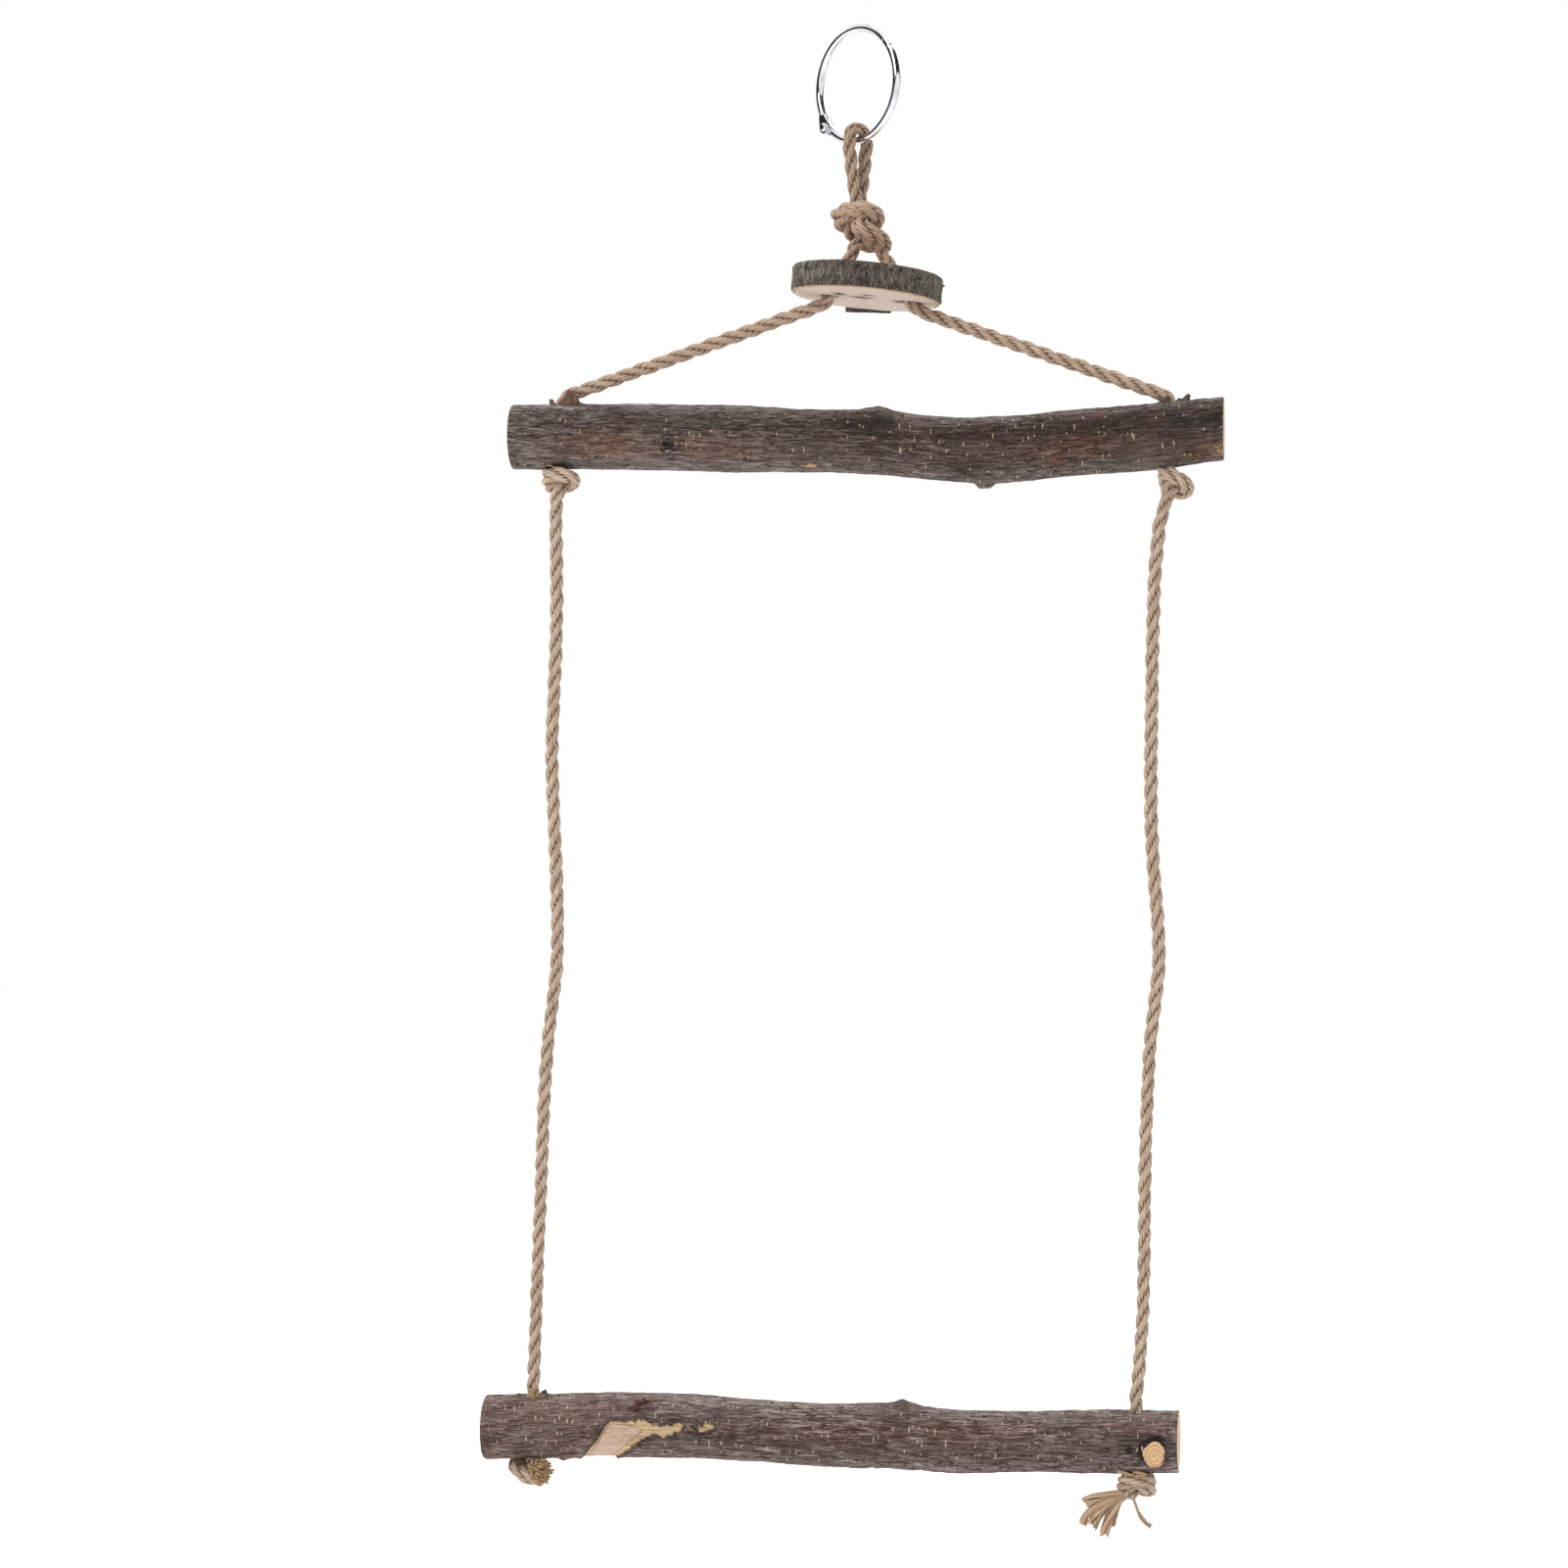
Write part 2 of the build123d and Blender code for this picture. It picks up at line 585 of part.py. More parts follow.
# Rope through the lower perch, with the knot that holds it there
with BuildPart() as left_lower_knot:
    left_low = Vector(lower_ropes["left"].X, 0, lower_lows["left"] - CLEARANCE)
    rope_tube([lower_ropes["left"] - Vector(0, 0, pivot_gap), left_low], [], ROPE_D)
    wrap_shares = ((8, 10, 1.0, 0.05), (-10, -18, 0.82, -0.1))
    knot(left_low, LOWER_LEFT_KNOT_W, LOWER_LEFT_KNOT_H, ROPE_D, wrap_shares)
left_lower_knot.part.label = "left_lower_knot"
export_step(left_lower_knot.part, "parts/left_lower_knot.step")

with BuildPart() as right_lower_knot:
    right_low = Vector(lower_ropes["right"].X, 0, lower_lows["right"] - CLEARANCE)
    rope_tube([lower_ropes["right"] - Vector(0, 0, pivot_gap), right_low], [], ROPE_D)
    wrap_shares = ((6, -12, 1.0, 0.0), (-8, 10, 0.9, -0.05))
    knot(right_low, LOWER_RIGHT_KNOT_W, LOWER_RIGHT_KNOT_H, KNOT_STRAND_D, wrap_shares)
right_lower_knot.part.label = "right_lower_knot"
export_step(right_lower_knot.part, "parts/right_lower_knot.step")

# Frayed end of the rope: yarns that fan out under the last knot
tail_root = right_low - Vector(0, 0, LOWER_RIGHT_KNOT_H)
YARN_SHARES = (
    (-1.15, -0.62, 0.1),
    (-0.95, -0.86, -0.25),
    (-0.72, -1.0, 0.2),
    (-0.45, -0.92, -0.1),
    (0.45, -0.68, 0.05),
)
with BuildPart() as frayed_tail:
    with BuildSketch(Plane.XY.offset(tail_root.Z - YARN_D)):
        with Locations((tail_root.X, 0)):
            Circle(rope_r)
    extrude(amount=YARN_D)
    for across_share, down_share, depth_share in YARN_SHARES:
        start = tail_root + Vector(across_share * rope_r / 2, depth_share * rope_r, -YARN_D / 2)
        bend = tail_root + Vector(
            across_share * TAIL_REACH / 3,
            depth_share * TAIL_REACH / 2,
            down_share * TAIL_DROP / 2,
        )
        tip = tail_root + Vector(
            across_share * TAIL_REACH,
            depth_share * TAIL_REACH,
            down_share * TAIL_DROP,
        )
        rope_tube([start, bend, tip], bend_radii([start, bend, tip]), YARN_D)
frayed_tail.part.label = "frayed_tail"
export_step(frayed_tail.part, "parts/frayed_tail.step")
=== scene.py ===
from math import cos, pi, radians, sin

import bmesh
import bpy
import numpy as np
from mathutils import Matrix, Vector


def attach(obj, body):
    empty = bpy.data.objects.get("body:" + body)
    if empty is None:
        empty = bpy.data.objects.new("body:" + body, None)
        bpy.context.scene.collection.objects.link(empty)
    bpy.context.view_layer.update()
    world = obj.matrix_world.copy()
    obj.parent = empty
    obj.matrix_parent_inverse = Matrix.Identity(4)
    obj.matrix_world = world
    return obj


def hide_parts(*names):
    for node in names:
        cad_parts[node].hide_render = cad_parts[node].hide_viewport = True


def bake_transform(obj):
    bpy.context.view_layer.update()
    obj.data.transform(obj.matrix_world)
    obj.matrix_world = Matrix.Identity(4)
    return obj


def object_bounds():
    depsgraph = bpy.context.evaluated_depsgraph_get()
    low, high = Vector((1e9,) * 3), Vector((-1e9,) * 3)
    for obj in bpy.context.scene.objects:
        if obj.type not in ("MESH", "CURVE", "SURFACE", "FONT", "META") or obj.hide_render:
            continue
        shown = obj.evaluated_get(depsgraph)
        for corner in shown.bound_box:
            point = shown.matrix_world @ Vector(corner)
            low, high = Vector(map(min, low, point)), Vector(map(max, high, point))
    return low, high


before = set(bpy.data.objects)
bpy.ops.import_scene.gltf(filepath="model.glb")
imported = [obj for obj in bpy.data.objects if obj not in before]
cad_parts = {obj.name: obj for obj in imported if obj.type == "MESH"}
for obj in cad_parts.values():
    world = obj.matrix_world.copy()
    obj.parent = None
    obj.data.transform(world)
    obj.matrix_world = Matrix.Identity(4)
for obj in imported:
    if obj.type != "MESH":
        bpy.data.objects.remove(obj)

# The looks of a hanging bird swing. Lengths are in millimetres and become metres where a mesh is made.

cad_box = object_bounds()
MM = 0.001

# Millimetres to one unit of a piece's map
MAP_MM = 100.0

# Camera, and how far it looks down on the lower branch
CAMERA_AT = (184.9, -1523.5, -273.9)
CAMERA_TURN = 8.0
CAMERA_DIP = 9.5
IMAGE_PX = 1601
FOCAL_PX = 4000
SENSOR = 36.0

# Rope: three strands of twisted yarns, with loose fibres
ROPE_D = 5.4
ROPE_STEP = 0.6
LAY = 22.0
STRANDS = 3
STRAND_R = 1.36
STRAND_OUT = 1.4
STRAND_SEED = 7
STRAND_CELLS = 220
STRAND_SEAM = 40
YARNS = 5
YARN_TURN = 1.15
YARN_GROOVE = 0.2
YARN_COLUMNS = 4
HAIRS_PER_MM = 9.0
HAIR_R = 0.04
HAIR_L = (0.8, 2.8)
HAIR_ROWS = 4
HAIR_SIDES = 3

# Knots: the open knot's size and reach, the rope that it takes, how far its ends go and how it is pulled tight
KNOT_OPEN = 0.68
KNOT_REACH = 2.3
KNOT_TAKES = 9.5
KNOT_THICK = 4.2
KNOT_ENDS = 22.0
KNOT_ROUNDS = 400
KNOT_SMOOTH = 12
KNOT_LEAD = 9.0
LAST_LEAD = 6.0
PAIR_THICK = 5.2
PAIR_CORE = 1.53
PAIR_ENDS = 34.0
PAIR_TURN = 120
PAIR_DRAW = 0.97
PAIR_ROUNDS = 200
HELD = 3
DRAWN_BY = 0.7
NEAR_ROPE = 1.6
PULLS, PULL = 8, 0.25
PUSHES, PUSH = 2, 0.2
UNBEND = 0.15
DOWN = np.array([0, 0, -1.0])

# How far from its pivots the rope bends
BEND_IN = 7.0
BEND_OUT = 9.0
NECK_BEND = 7.0
STRAIGHT = 6 * ROPE_D

# Places on the two sides of the rope, as the model has them
LOOP_ROUTE = (
    (0.25, 2.84, -46.7), (2.89, 3.45, -27.0), (2.89, 3.45, -17.5),
    (-2.89, -3.45, -17.5), (-2.89, -3.45, -27.0), (-0.25, -2.84, -46.7),
)
LOOP_END = {"left": LOOP_ROUTE[-1], "right": LOOP_ROUTE[0]}
LEG_TOP = {"left": (-2.1, 0, -65.6), "right": (9.3, 0, -65.6)}
LEG_EXIT = {"left": (-10.92, -0.14, -82.67), "right": (20.94, -0.24, -85.63)}
PIVOT = {"left": (-12.41, -0.16, -85.55), "right": (22.79, -0.28, -88.81)}
MOUTH = {"left": (-118.0, 0, -121.1), "right": (121.5, 0, -123.9)}
HOLE_LOW = {"left": (-118.0, 0, -149.2), "right": (121.5, 0, -151.15)}
NECK_TOP = {"left": (-120.2, 0, -161.5), "right": (120.0, 0, -165.45)}
SWAY = {"left": (-120.44, 0, -173.52), "right": (117.74, 0, -173.52)}
DROP = (-9.1, 0, -339.5)
LOWER_LOW = {"left": -541.2, "right": -541.0}
LAST_END = {"left": (-127.8, -3.0, -547.0), "right": (106.2, -0.5, -550.8)}

# Waves of the side ropes: shares of the way down, and millimetres to the right
WAVE = {
    "left": (
        (0.071, 1.2), (0.162, 1.3), (0.253, 0.4), (0.329, 2.1), (0.409, 4.1), (0.482, 5.3),
        (0.535, 4.4), (0.588, 2.2), (0.668, 1.2), (0.766, 1.0), (0.884, 0.3),
    ),
    "right": (
        (0.044, -1.4), (0.116, -1.6), (0.192, -1.2), (0.280, -0.9), (0.357, 0.1), (0.422, 2.2), (0.480, 4.5),
        (0.525, 4.0), (0.584, 1.7), (0.658, 1.1), (0.743, 1.0), (0.834, 1.7), (0.921, 1.9),
    ),
}


def unit(v):
    """Vectors shrunk or stretched to a length of one, along the last axis."""
    return v / np.maximum(np.linalg.norm(v, axis=-1, keepdims=True), 1e-12)


def ease(t):
    """A smooth step from 0 to 1."""
    t = np.clip(t, 0, 1)
    return t * t * (3 - 2 * t)


def bell(x):
    """1 at 0, falling off on either side as a bell does."""
    return np.exp(-(x**2))


def around(angle, first, second):
    """Directions at angles from a first direction towards a second one, square to it."""
    return np.cos(angle)[..., None] * first + np.sin(angle)[..., None] * second


def map_of(u, v):
    """A piece's map, from millimetres along it and round it."""
    return np.stack(np.broadcast_arrays(u, v), axis=-1) / MAP_MM


def cloud(u, v, cells, seed):
    """Values from 0 to 1 drawn on a lattice and eased between its corners. u and v go from 0 to 1; v comes round."""
    table = np.random.default_rng(seed).random((cells[0] + 2, cells[1]))
    x, y = np.clip(u, 0, 1) * cells[0], v * cells[1]
    i, j = np.floor(x).astype(int), np.floor(y).astype(int)
    fx, fy = ease(x - i), ease(y - j)
    j, k = j % cells[1], (j + 1) % cells[1]
    low = table[i, j] * (1 - fy) + table[i, k] * fy
    high = table[i + 1, j] * (1 - fy) + table[i + 1, k] * fy
    return low * (1 - fx) + high * fx


def row_at(shares, t):
    """A smooth curve through evenly spaced values, read at places t from 0 to 1 (each span a Catmull-Rom cubic)."""
    values = np.array(shares, float)
    values = np.concatenate([[2 * values[0] - values[1]], values, [2 * values[-1] - values[-2]]])
    place = np.clip(t, 0, 1) * (len(shares) - 1)
    i = np.minimum(place.astype(int), len(shares) - 2)
    f = place - i
    a, b, c, d = values[i], values[i + 1], values[i + 2], values[i + 3]
    return b + f / 2 * (c - a + f * (2 * a - 5 * b + 4 * c - d + f * (3 * (b - c) + d - a)))


# Meshes


def tubes(points, uv=None, values=None, finish=0):
    """Closed tubes from an array of tubes by rings by ring points: quads between rings, a flat face over each end."""
    count, rings, columns = points.shape[:3]
    index = np.arange(count * rings * columns).reshape(count, rings, columns)
    beside = np.roll(index, -1, axis=2)
    quads = np.stack([index[:, :-1], beside[:, :-1], beside[:, 1:], index[:, 1:]], axis=-1).reshape(-1, 4)
    caps = np.concatenate([index[:, 0, ::-1], index[:, -1]])
    flat = points.reshape(-1, 3)
    a, b, c, d = (flat[quads[:, k]] for k in range(4))
    volume = (np.cross(a, b) * c).sum() + (np.cross(a, c) * d).sum()
    if volume < 0:
        quads, caps = quads[:, ::-1], caps[:, ::-1]
    if uv is None:
        corner_uv = np.zeros((len(quads) * 4 + caps.size, 2))
    else:
        four = np.stack([uv[:, :-1, :-1], uv[:, :-1, 1:], uv[:, 1:, 1:], uv[:, 1:, :-1]], axis=3).reshape(-1, 4, 2)
        ends = np.concatenate([uv[:, 0, :-1][:, ::-1], uv[:, -1, :-1]])
        if volume < 0:
            four, ends = four[:, ::-1], ends[:, ::-1]
        corner_uv = np.concatenate([four.reshape(-1, 2), ends.reshape(-1, 2)])
    values = {name: value.ravel() for name, value in (values or {}).items()}
    return {"points": flat, "quads": quads, "caps": caps, "uv": corner_uv, "values": values, "finish": finish}


def placed(name, data):
    """A new object in the scene."""
    made = bpy.data.objects.new(name, data)
    bpy.context.scene.collection.objects.link(made)
    return made


def piece(name, shells, materials):
    """One mesh object from several sets of tubes, with their corners' map and their values as attributes."""
    mesh = bpy.data.meshes.new(name)
    points = np.concatenate([s["points"] for s in shells]) * MM
    base, loops, sizes, finish, uv = 0, [], [], [], []
    for s in shells:
        for faces in (s["quads"], s["caps"]):
            loops.append(faces.ravel() + base)
            sizes.append(np.full(len(faces), faces.shape[1]))
            finish.append(np.full(len(faces), s["finish"]))
        uv.append(s["uv"])
        base += len(s["points"])
    loops, sizes = np.concatenate(loops), np.concatenate(sizes)
    mesh.vertices.add(len(points))
    mesh.vertices.foreach_set("co", points.astype(np.float32).ravel())
    mesh.loops.add(len(loops))
    mesh.loops.foreach_set("vertex_index", loops.astype(np.int32))
    mesh.polygons.add(len(sizes))
    mesh.polygons.foreach_set("loop_start", np.concatenate([[0], np.cumsum(sizes)[:-1]]).astype(np.int32))
    mesh.polygons.foreach_set("material_index", np.concatenate(finish).astype(np.int32))
    mesh.polygons.foreach_set("use_smooth", np.ones(len(sizes), bool))
    mesh.update(calc_edges=True)
    mesh.uv_layers.new(name="UVMap").data.foreach_set("uv", np.concatenate(uv).astype(np.float32).ravel())
    for key in sorted({key for s in shells for key in s["values"]}):
        rows = [s["values"].get(key, np.zeros(len(s["points"]))) for s in shells]
        attribute = mesh.attributes.new(key, "FLOAT", "POINT")
        attribute.data.foreach_set("value", np.concatenate(rows).astype(np.float32))
    for material in materials:
        mesh.materials.append(material)
    return placed(name, mesh)


def grid_piece(name, points, uv, values, material):
    """One closed tube as a piece."""
    shell = tubes(points[None], uv[None], {key: value[None] for key, value in values.items()})
    return piece(name, [shell], [material])


# Materials


def colour(red, green, blue):
    """A screen colour from 0 to 255 as the light values that a shader takes."""
    c = np.array([red, green, blue]) / 255
    light = np.where(c <= 0.04045, c / 12.92, ((c + 0.055) / 1.055) ** 2.4)
    return (*light.tolist(), 1.0)


class Socket:
    """A node's output. A sum with numbers or other sockets adds Math nodes to its node tree."""

    def __init__(self, paint, out):
        self.paint, self.out = paint, out

    def maths(self, operation, *values):
        return self.paint.node("ShaderNodeMath", {"operation": operation}, values)

    def __add__(self, other):
        return self.maths("ADD", self, other)

    def __sub__(self, other):
        return self.maths("SUBTRACT", self, other)

    def __mul__(self, other):
        return self.maths("MULTIPLY", self, other)

    def __rsub__(self, other):
        return self.maths("SUBTRACT", other, self)

    __radd__, __rmul__ = __add__, __mul__

    def size(self):
        return self.maths("ABSOLUTE", self)

    def wave(self):
        return self.maths("SINE", self)

    def band(self, low, high):
        """0 below low, 1 above high and an eased step between them."""
        settings = {"interpolation_type": "SMOOTHSTEP"}
        return self.paint.node("ShaderNodeMapRange", settings, {"Value": self, "From Min": low, "From Max": high})

    def between(self, first, second):
        """The first colour where this is 0 and the second where it is 1. Plain colours are screen colours."""
        ends = [end if isinstance(end, Socket) else colour(*end) for end in (first, second)]
        return self.paint.node("ShaderNodeMix", {"data_type": "RGBA"}, {0: self, 6: ends[0], 7: ends[1]}, out=2)

    def stretch(self, *scale):
        """A vector with each part times a number."""
        return self.paint.node("ShaderNodeVectorMath", {"operation": "MULTIPLY"}, [self, scale])


class Paint:
    """The node tree of a material or of the world."""

    def __init__(self, owner):
        owner.use_nodes = True
        self.owner, self.tree = owner, owner.node_tree
        self.tree.nodes.clear()

    def node(self, kind, settings=None, values=(), out=0):
        """Adds a node: its settings first, then the values or links of its sockets. Gives one of its outputs."""
        made = self.tree.nodes.new(kind)
        for key, value in (settings or {}).items():
            setattr(made, key, value)
        for key, value in values.items() if isinstance(values, dict) else enumerate(values):
            if isinstance(value, Socket):
                self.tree.links.new(value.out, made.inputs[key])
            else:
                made.inputs[key].default_value = value
        return Socket(self, made.outputs[out]) if len(made.outputs) else None

    def noise(self, at, scale, detail=4.0, roughness=0.55, distortion=0.0):
        values = {"Vector": at, "Scale": scale, "Detail": detail, "Roughness": roughness, "Distortion": distortion}
        return self.node("ShaderNodeTexNoise", None, values)

    def cells(self, at, out=0):
        settings = {"voronoi_dimensions": "2D"}
        return self.node("ShaderNodeTexVoronoi", settings, {"Vector": at, "Scale": 1.0}, out=out)

    def map(self):
        """The piece's own map, in millimetres."""
        return self.node("ShaderNodeUVMap", {"uv_map": "UVMap"}).stretch(MAP_MM, MAP_MM, MAP_MM)

    def place(self):
        """Object coordinates, in millimetres."""
        return self.node("ShaderNodeTexCoord", None, out=3).stretch(1 / MM, 1 / MM, 1 / MM)

    def value(self, name):
        return self.node("ShaderNodeAttribute", {"attribute_name": name}, out=2)

    def bump(self, height, depth):
        return self.node("ShaderNodeBump", None, {"Height": height, "Strength": 1.0, "Distance": depth * MM})

    def surface(self, **values):
        """The Principled shader with these sockets, on the output."""
        named = {key.replace("_", " "): value for key, value in values.items()}
        shader = self.node("ShaderNodeBsdfPrincipled", None, named)
        self.node("ShaderNodeOutputMaterial", None, {"Surface": shader})
        return self.owner


def new_paint(name):
    return Paint(bpy.data.materials.new(name))


JUTE_DULL = (132, 105, 84)
# Worn rope, and painted shade in the knots
JUTE_WEAR_AND_SHADE = (126, 90, 64)
# Painted shade in the grooves between strands and yarns
JUTE_GROOVE_SHADE = (86, 62, 47)


def jute_paint(name, low, high, bright):
    """Jute: yarns of uneven tan with fibres along each yarn, darker worn patches, and painted shade in the grooves
    that deepens in the knots.
    """
    paint = new_paint(name)
    at = paint.map()
    fibre = paint.noise(at.stretch(0.16, 3.2, 1), 1.0, 5, 0.65)
    tone = paint.noise(at.stretch(0.05, 0.35, 1), 1.0, 3)
    tan = tone.band(0.3, 0.72).between(low, high)
    tan = fibre.band(0.5, 0.75).between(tan, bright)
    tan = fibre.band(0.5, 0.24).between(tan, JUTE_DULL)
    # Darker brown patches: worn rope, and painted shade that darkens the knots
    tan = (paint.value("worn") * tone.band(0.15, 0.6)).between(tan, JUTE_WEAR_AND_SHADE)
    # Painted shade in the grooves; in a fringe the same value darkens some yarns at random
    tan = paint.value("groove").band(0.3, 1.0).between(tan, JUTE_GROOVE_SHADE)
    rough, bump = fibre * 0.1 + 0.82, paint.bump(fibre, 0.22)
    return paint.surface(Base_Color=tan, Roughness=rough, Normal=bump, Sheen_Weight=0.15, Specular_IOR_Level=0.25)


def fibre_paint(name):
    """Loose jute fibres: pale straw, a little uneven from one to the next."""
    paint = new_paint(name)
    straw = paint.noise(paint.place(), 0.9, 2).band(0.3, 0.7).between((190, 166, 140), (228, 210, 188))
    return paint.surface(Base_Color=straw, Roughness=0.75)


def wire_paint(name):
    """Bright plated wire with fine drawing lines and a little dulling."""
    paint = new_paint(name)
    at = paint.place()
    dull = paint.noise(at, 0.25, 3)
    scratch = paint.noise(at.stretch(1.5, 1.5, 6.0), 2.0, 2)
    tint = dull.band(0.3, 0.7).between((232, 233, 236), (214, 215, 220))
    rough, bump = dull * 0.06 + 0.05, paint.bump(scratch, 0.004)
    return paint.surface(Base_Color=tint, Metallic=1.0, Roughness=rough, Normal=bump)


# Torn wood: two tones of its inner and of its outer part, and a darker tone for its dark grain and seams and for
# painted shade along the edges of torn places
INNER_WOOD = ((222, 196, 176), (204, 176, 156))
OUTER_WOOD = ((198, 170, 126), (222, 203, 164))
WOOD_SHADE_AND_DARK_GRAIN = (140, 108, 82)


def wood_paint(name, tones, tick, grain):
    """Bark with streaks along it, a net of cracks, patches and pale breathing marks, torn wood where the value torn
    is set, and end grain with rings where the value end is set. The map runs along the branch and then round it."""
    paint = new_paint(name)
    at, place = paint.map(), paint.place()
    values = [paint.value(key) for key in ("red", "dark", "pale", "ticks", "torn", "core", "end", "ring")]
    reds, darks, pales, ticks, torn, core, end, ring = values
    deep, dark, middle, light, red, rust, pale = tones
    spacing, ring_light, ring_dark, fleck, clean = grain
    streak = paint.noise(at.stretch(0.1, 0.8, 1), 1.0, 6, 0.66, 0.4)
    fine = paint.noise(at.stretch(0.45, 3.4, 1), 1.0, 4, 0.65)
    patch = paint.noise(at.stretch(0.03, 0.07, 1), 1.0, 3)
    net = (paint.noise(at.stretch(0.085, 0.6, 1), 1.0, 4, 0.6, 0.8) - 0.5).size()
    crack = net.band(0.035, 0.0) * patch.band(0.3, 0.52)
    thin = (paint.noise(at.stretch(0.075, 1.05, 1), 1.0, 4, 0.6, 0.6) - 0.5).size().band(0.042, 0.0)
    bark = streak.band(0.32, 0.5).between(dark, middle)
    bark = streak.band(0.5, 0.68).between(bark, light)
    bark = (patch.band(0.58, 0.4) * 0.35).between(bark, dark)
    bark = (fine.band(0.47, 0.3) * 0.6).between(bark, deep)
    bark = (fine.band(0.54, 0.7) * 0.7).between(bark, light)
    # pales: the bark's own paler places, and painted light along the top and the underside of each branch and at the
    # sides of the slice
    bark = (pales * (streak.band(0.3, 0.6) * 0.7 + 0.3)).between(bark, pale)
    bark = (reds * streak.band(0.66, 0.42) + reds.band(1.0, 1.4)).between(bark, red)
    bark = (thin * 0.8).between(bark, deep)
    bark = (crack * 0.85).between(bark, (reds * 1.6).between(deep, rust))
    # darks: the bark's own darker places, and painted shade across the front of each branch and of the slice
    bark = darks.between(bark, deep)
    sway = paint.node("ShaderNodeTexNoise", None, {"Vector": at, "Scale": 0.09, "Detail": 1.0}, out=1)
    spread = paint.node("ShaderNodeVectorMath", None, [at, sway.stretch(0, 11, 0)]).stretch(0.5, 0.19, 1)
    girth = (paint.cells(spread, out=1) + ticks * 0.2 - 0.82) * 1.7
    marks = (paint.cells(spread) - girth.maths("MINIMUM", girth, 0.18)).band(0.0, -0.05)
    dust = at.stretch(0.8, 0.55, 1)
    specks = (paint.cells(dust) - (paint.cells(dust, out=1) - 0.62) * 0.6).band(0.0, -0.05)
    bark = (specks * 0.5).between(bark, tick)
    bark = (marks * 0.85).between(bark, tick)
    fibre = paint.noise(at.stretch(0.06, 1.1, 1), 1.0, 5, 0.6)
    outer = fibre.band(0.3, 0.68).between(*OUTER_WOOD)
    inner = fibre.band(0.3, 0.7).between(*INNER_WOOD)
    wood = core.band(-0.3, 0.4).between(outer, inner)
    wood = (darks + fibre.band(0.42, 0.3) * 0.3 + fine.band(0.46, 0.3) * 0.2).between(wood, WOOD_SHADE_AND_DARK_GRAIN)
    # Painted shade along the edges of the torn places, where the wood steps down under the bark
    wood = (torn.band(0.9, 0.5) * 0.7).between(wood, WOOD_SHADE_AND_DARK_GRAIN)
    seams = core.size().band(0.4, 0.1) * 0.6 + (core - 2.2).size().band(0.35, 0.05) * 0.14
    wood = seams.between(wood, WOOD_SHADE_AND_DARK_GRAIN)
    rings = ((ring + paint.noise(place, 0.2, 3) * 3.0) * (2 * pi / spacing)).wave()
    cut = (rings * 0.5 + 0.5).between(ring_light, ring_dark)
    cut = paint.noise(place, 1.6, 4).band(0.55, 0.75).between(cut, fleck)
    cut = (pales * 0.8).between(cut, clean)
    cut = reds.between(cut, rust)
    on_torn, on_end = torn.band(0.3, 0.5), end.band(0.4, 0.6)
    shade = on_end.between(on_torn.between(bark, wood), cut)
    bare = (1 - on_torn * 0.6) * (1 - on_end * 0.85)
    height = (streak * 0.5 + fine * 0.35 - crack * 0.6 - thin * 0.25 + marks * 0.25) * bare
    rough, bump = fine * 0.16 + 0.74, paint.bump(height, 0.55)
    return paint.surface(Base_Color=shade, Roughness=rough, Normal=bump, Specular_IOR_Level=0.2)


def flake_paint(name, dark, light):
    """A sliver of bark or wood, streaked along its length."""
    paint = new_paint(name)
    streak = paint.noise(paint.map().stretch(0.3, 2.0, 1), 1.0, 5, 0.65)
    shade = streak.band(0.35, 0.65).between(dark, light)
    return paint.surface(Base_Color=shade, Roughness=streak * 0.2 + 0.7, Normal=paint.bump(streak, 0.3))


jute = jute_paint("jute_yarn", (170, 145, 124), (204, 182, 160), (222, 204, 183))
frayed_jute = jute_paint("frayed_jute", (186, 155, 124), (216, 186, 152), (230, 206, 176))
cut_jute = jute_paint("cut_jute", (194, 150, 98), (226, 190, 140), (238, 212, 168))
fibres = fibre_paint("jute_fibre")
wire = wire_paint("plated_wire")
upper_bark = wood_paint(
    "upper_branch_bark",
    ((40, 31, 28), (76, 62, 57), (106, 89, 82), (148, 133, 124), (132, 86, 64), (78, 46, 34), (164, 153, 149)),
    (182, 158, 132),
    (1.5, (206, 186, 162), (180, 154, 126), (166, 140, 112), (216, 202, 186)),
)
lower_bark = wood_paint(
    "lower_branch_bark",
    ((50, 38, 36), (96, 80, 75), (134, 116, 110), (190, 174, 166), (128, 88, 78), (94, 52, 44), (172, 158, 152)),
    (196, 174, 158),
    (1.6, (222, 188, 144), (192, 152, 112), (158, 116, 84), (228, 216, 204)),
)
slice_bark = wood_paint(
    "branch_slice_bark",
    ((52, 44, 39), (92, 81, 73), (124, 113, 103), (176, 164, 152), (116, 102, 88), (64, 50, 42), (168, 166, 156)),
    (186, 176, 148),
    (2.1, (218, 200, 188), (204, 183, 170), (192, 169, 154), (222, 206, 194)),
)
rust_flake = flake_paint("rust_bark_flake", (58, 42, 36), (128, 94, 78))
dark_flake = flake_paint("dark_bark_flake", (48, 38, 34), (104, 86, 76))
straw_splinter = flake_paint("straw_splinter", (124, 94, 64), (194, 163, 116))

# Rope lines


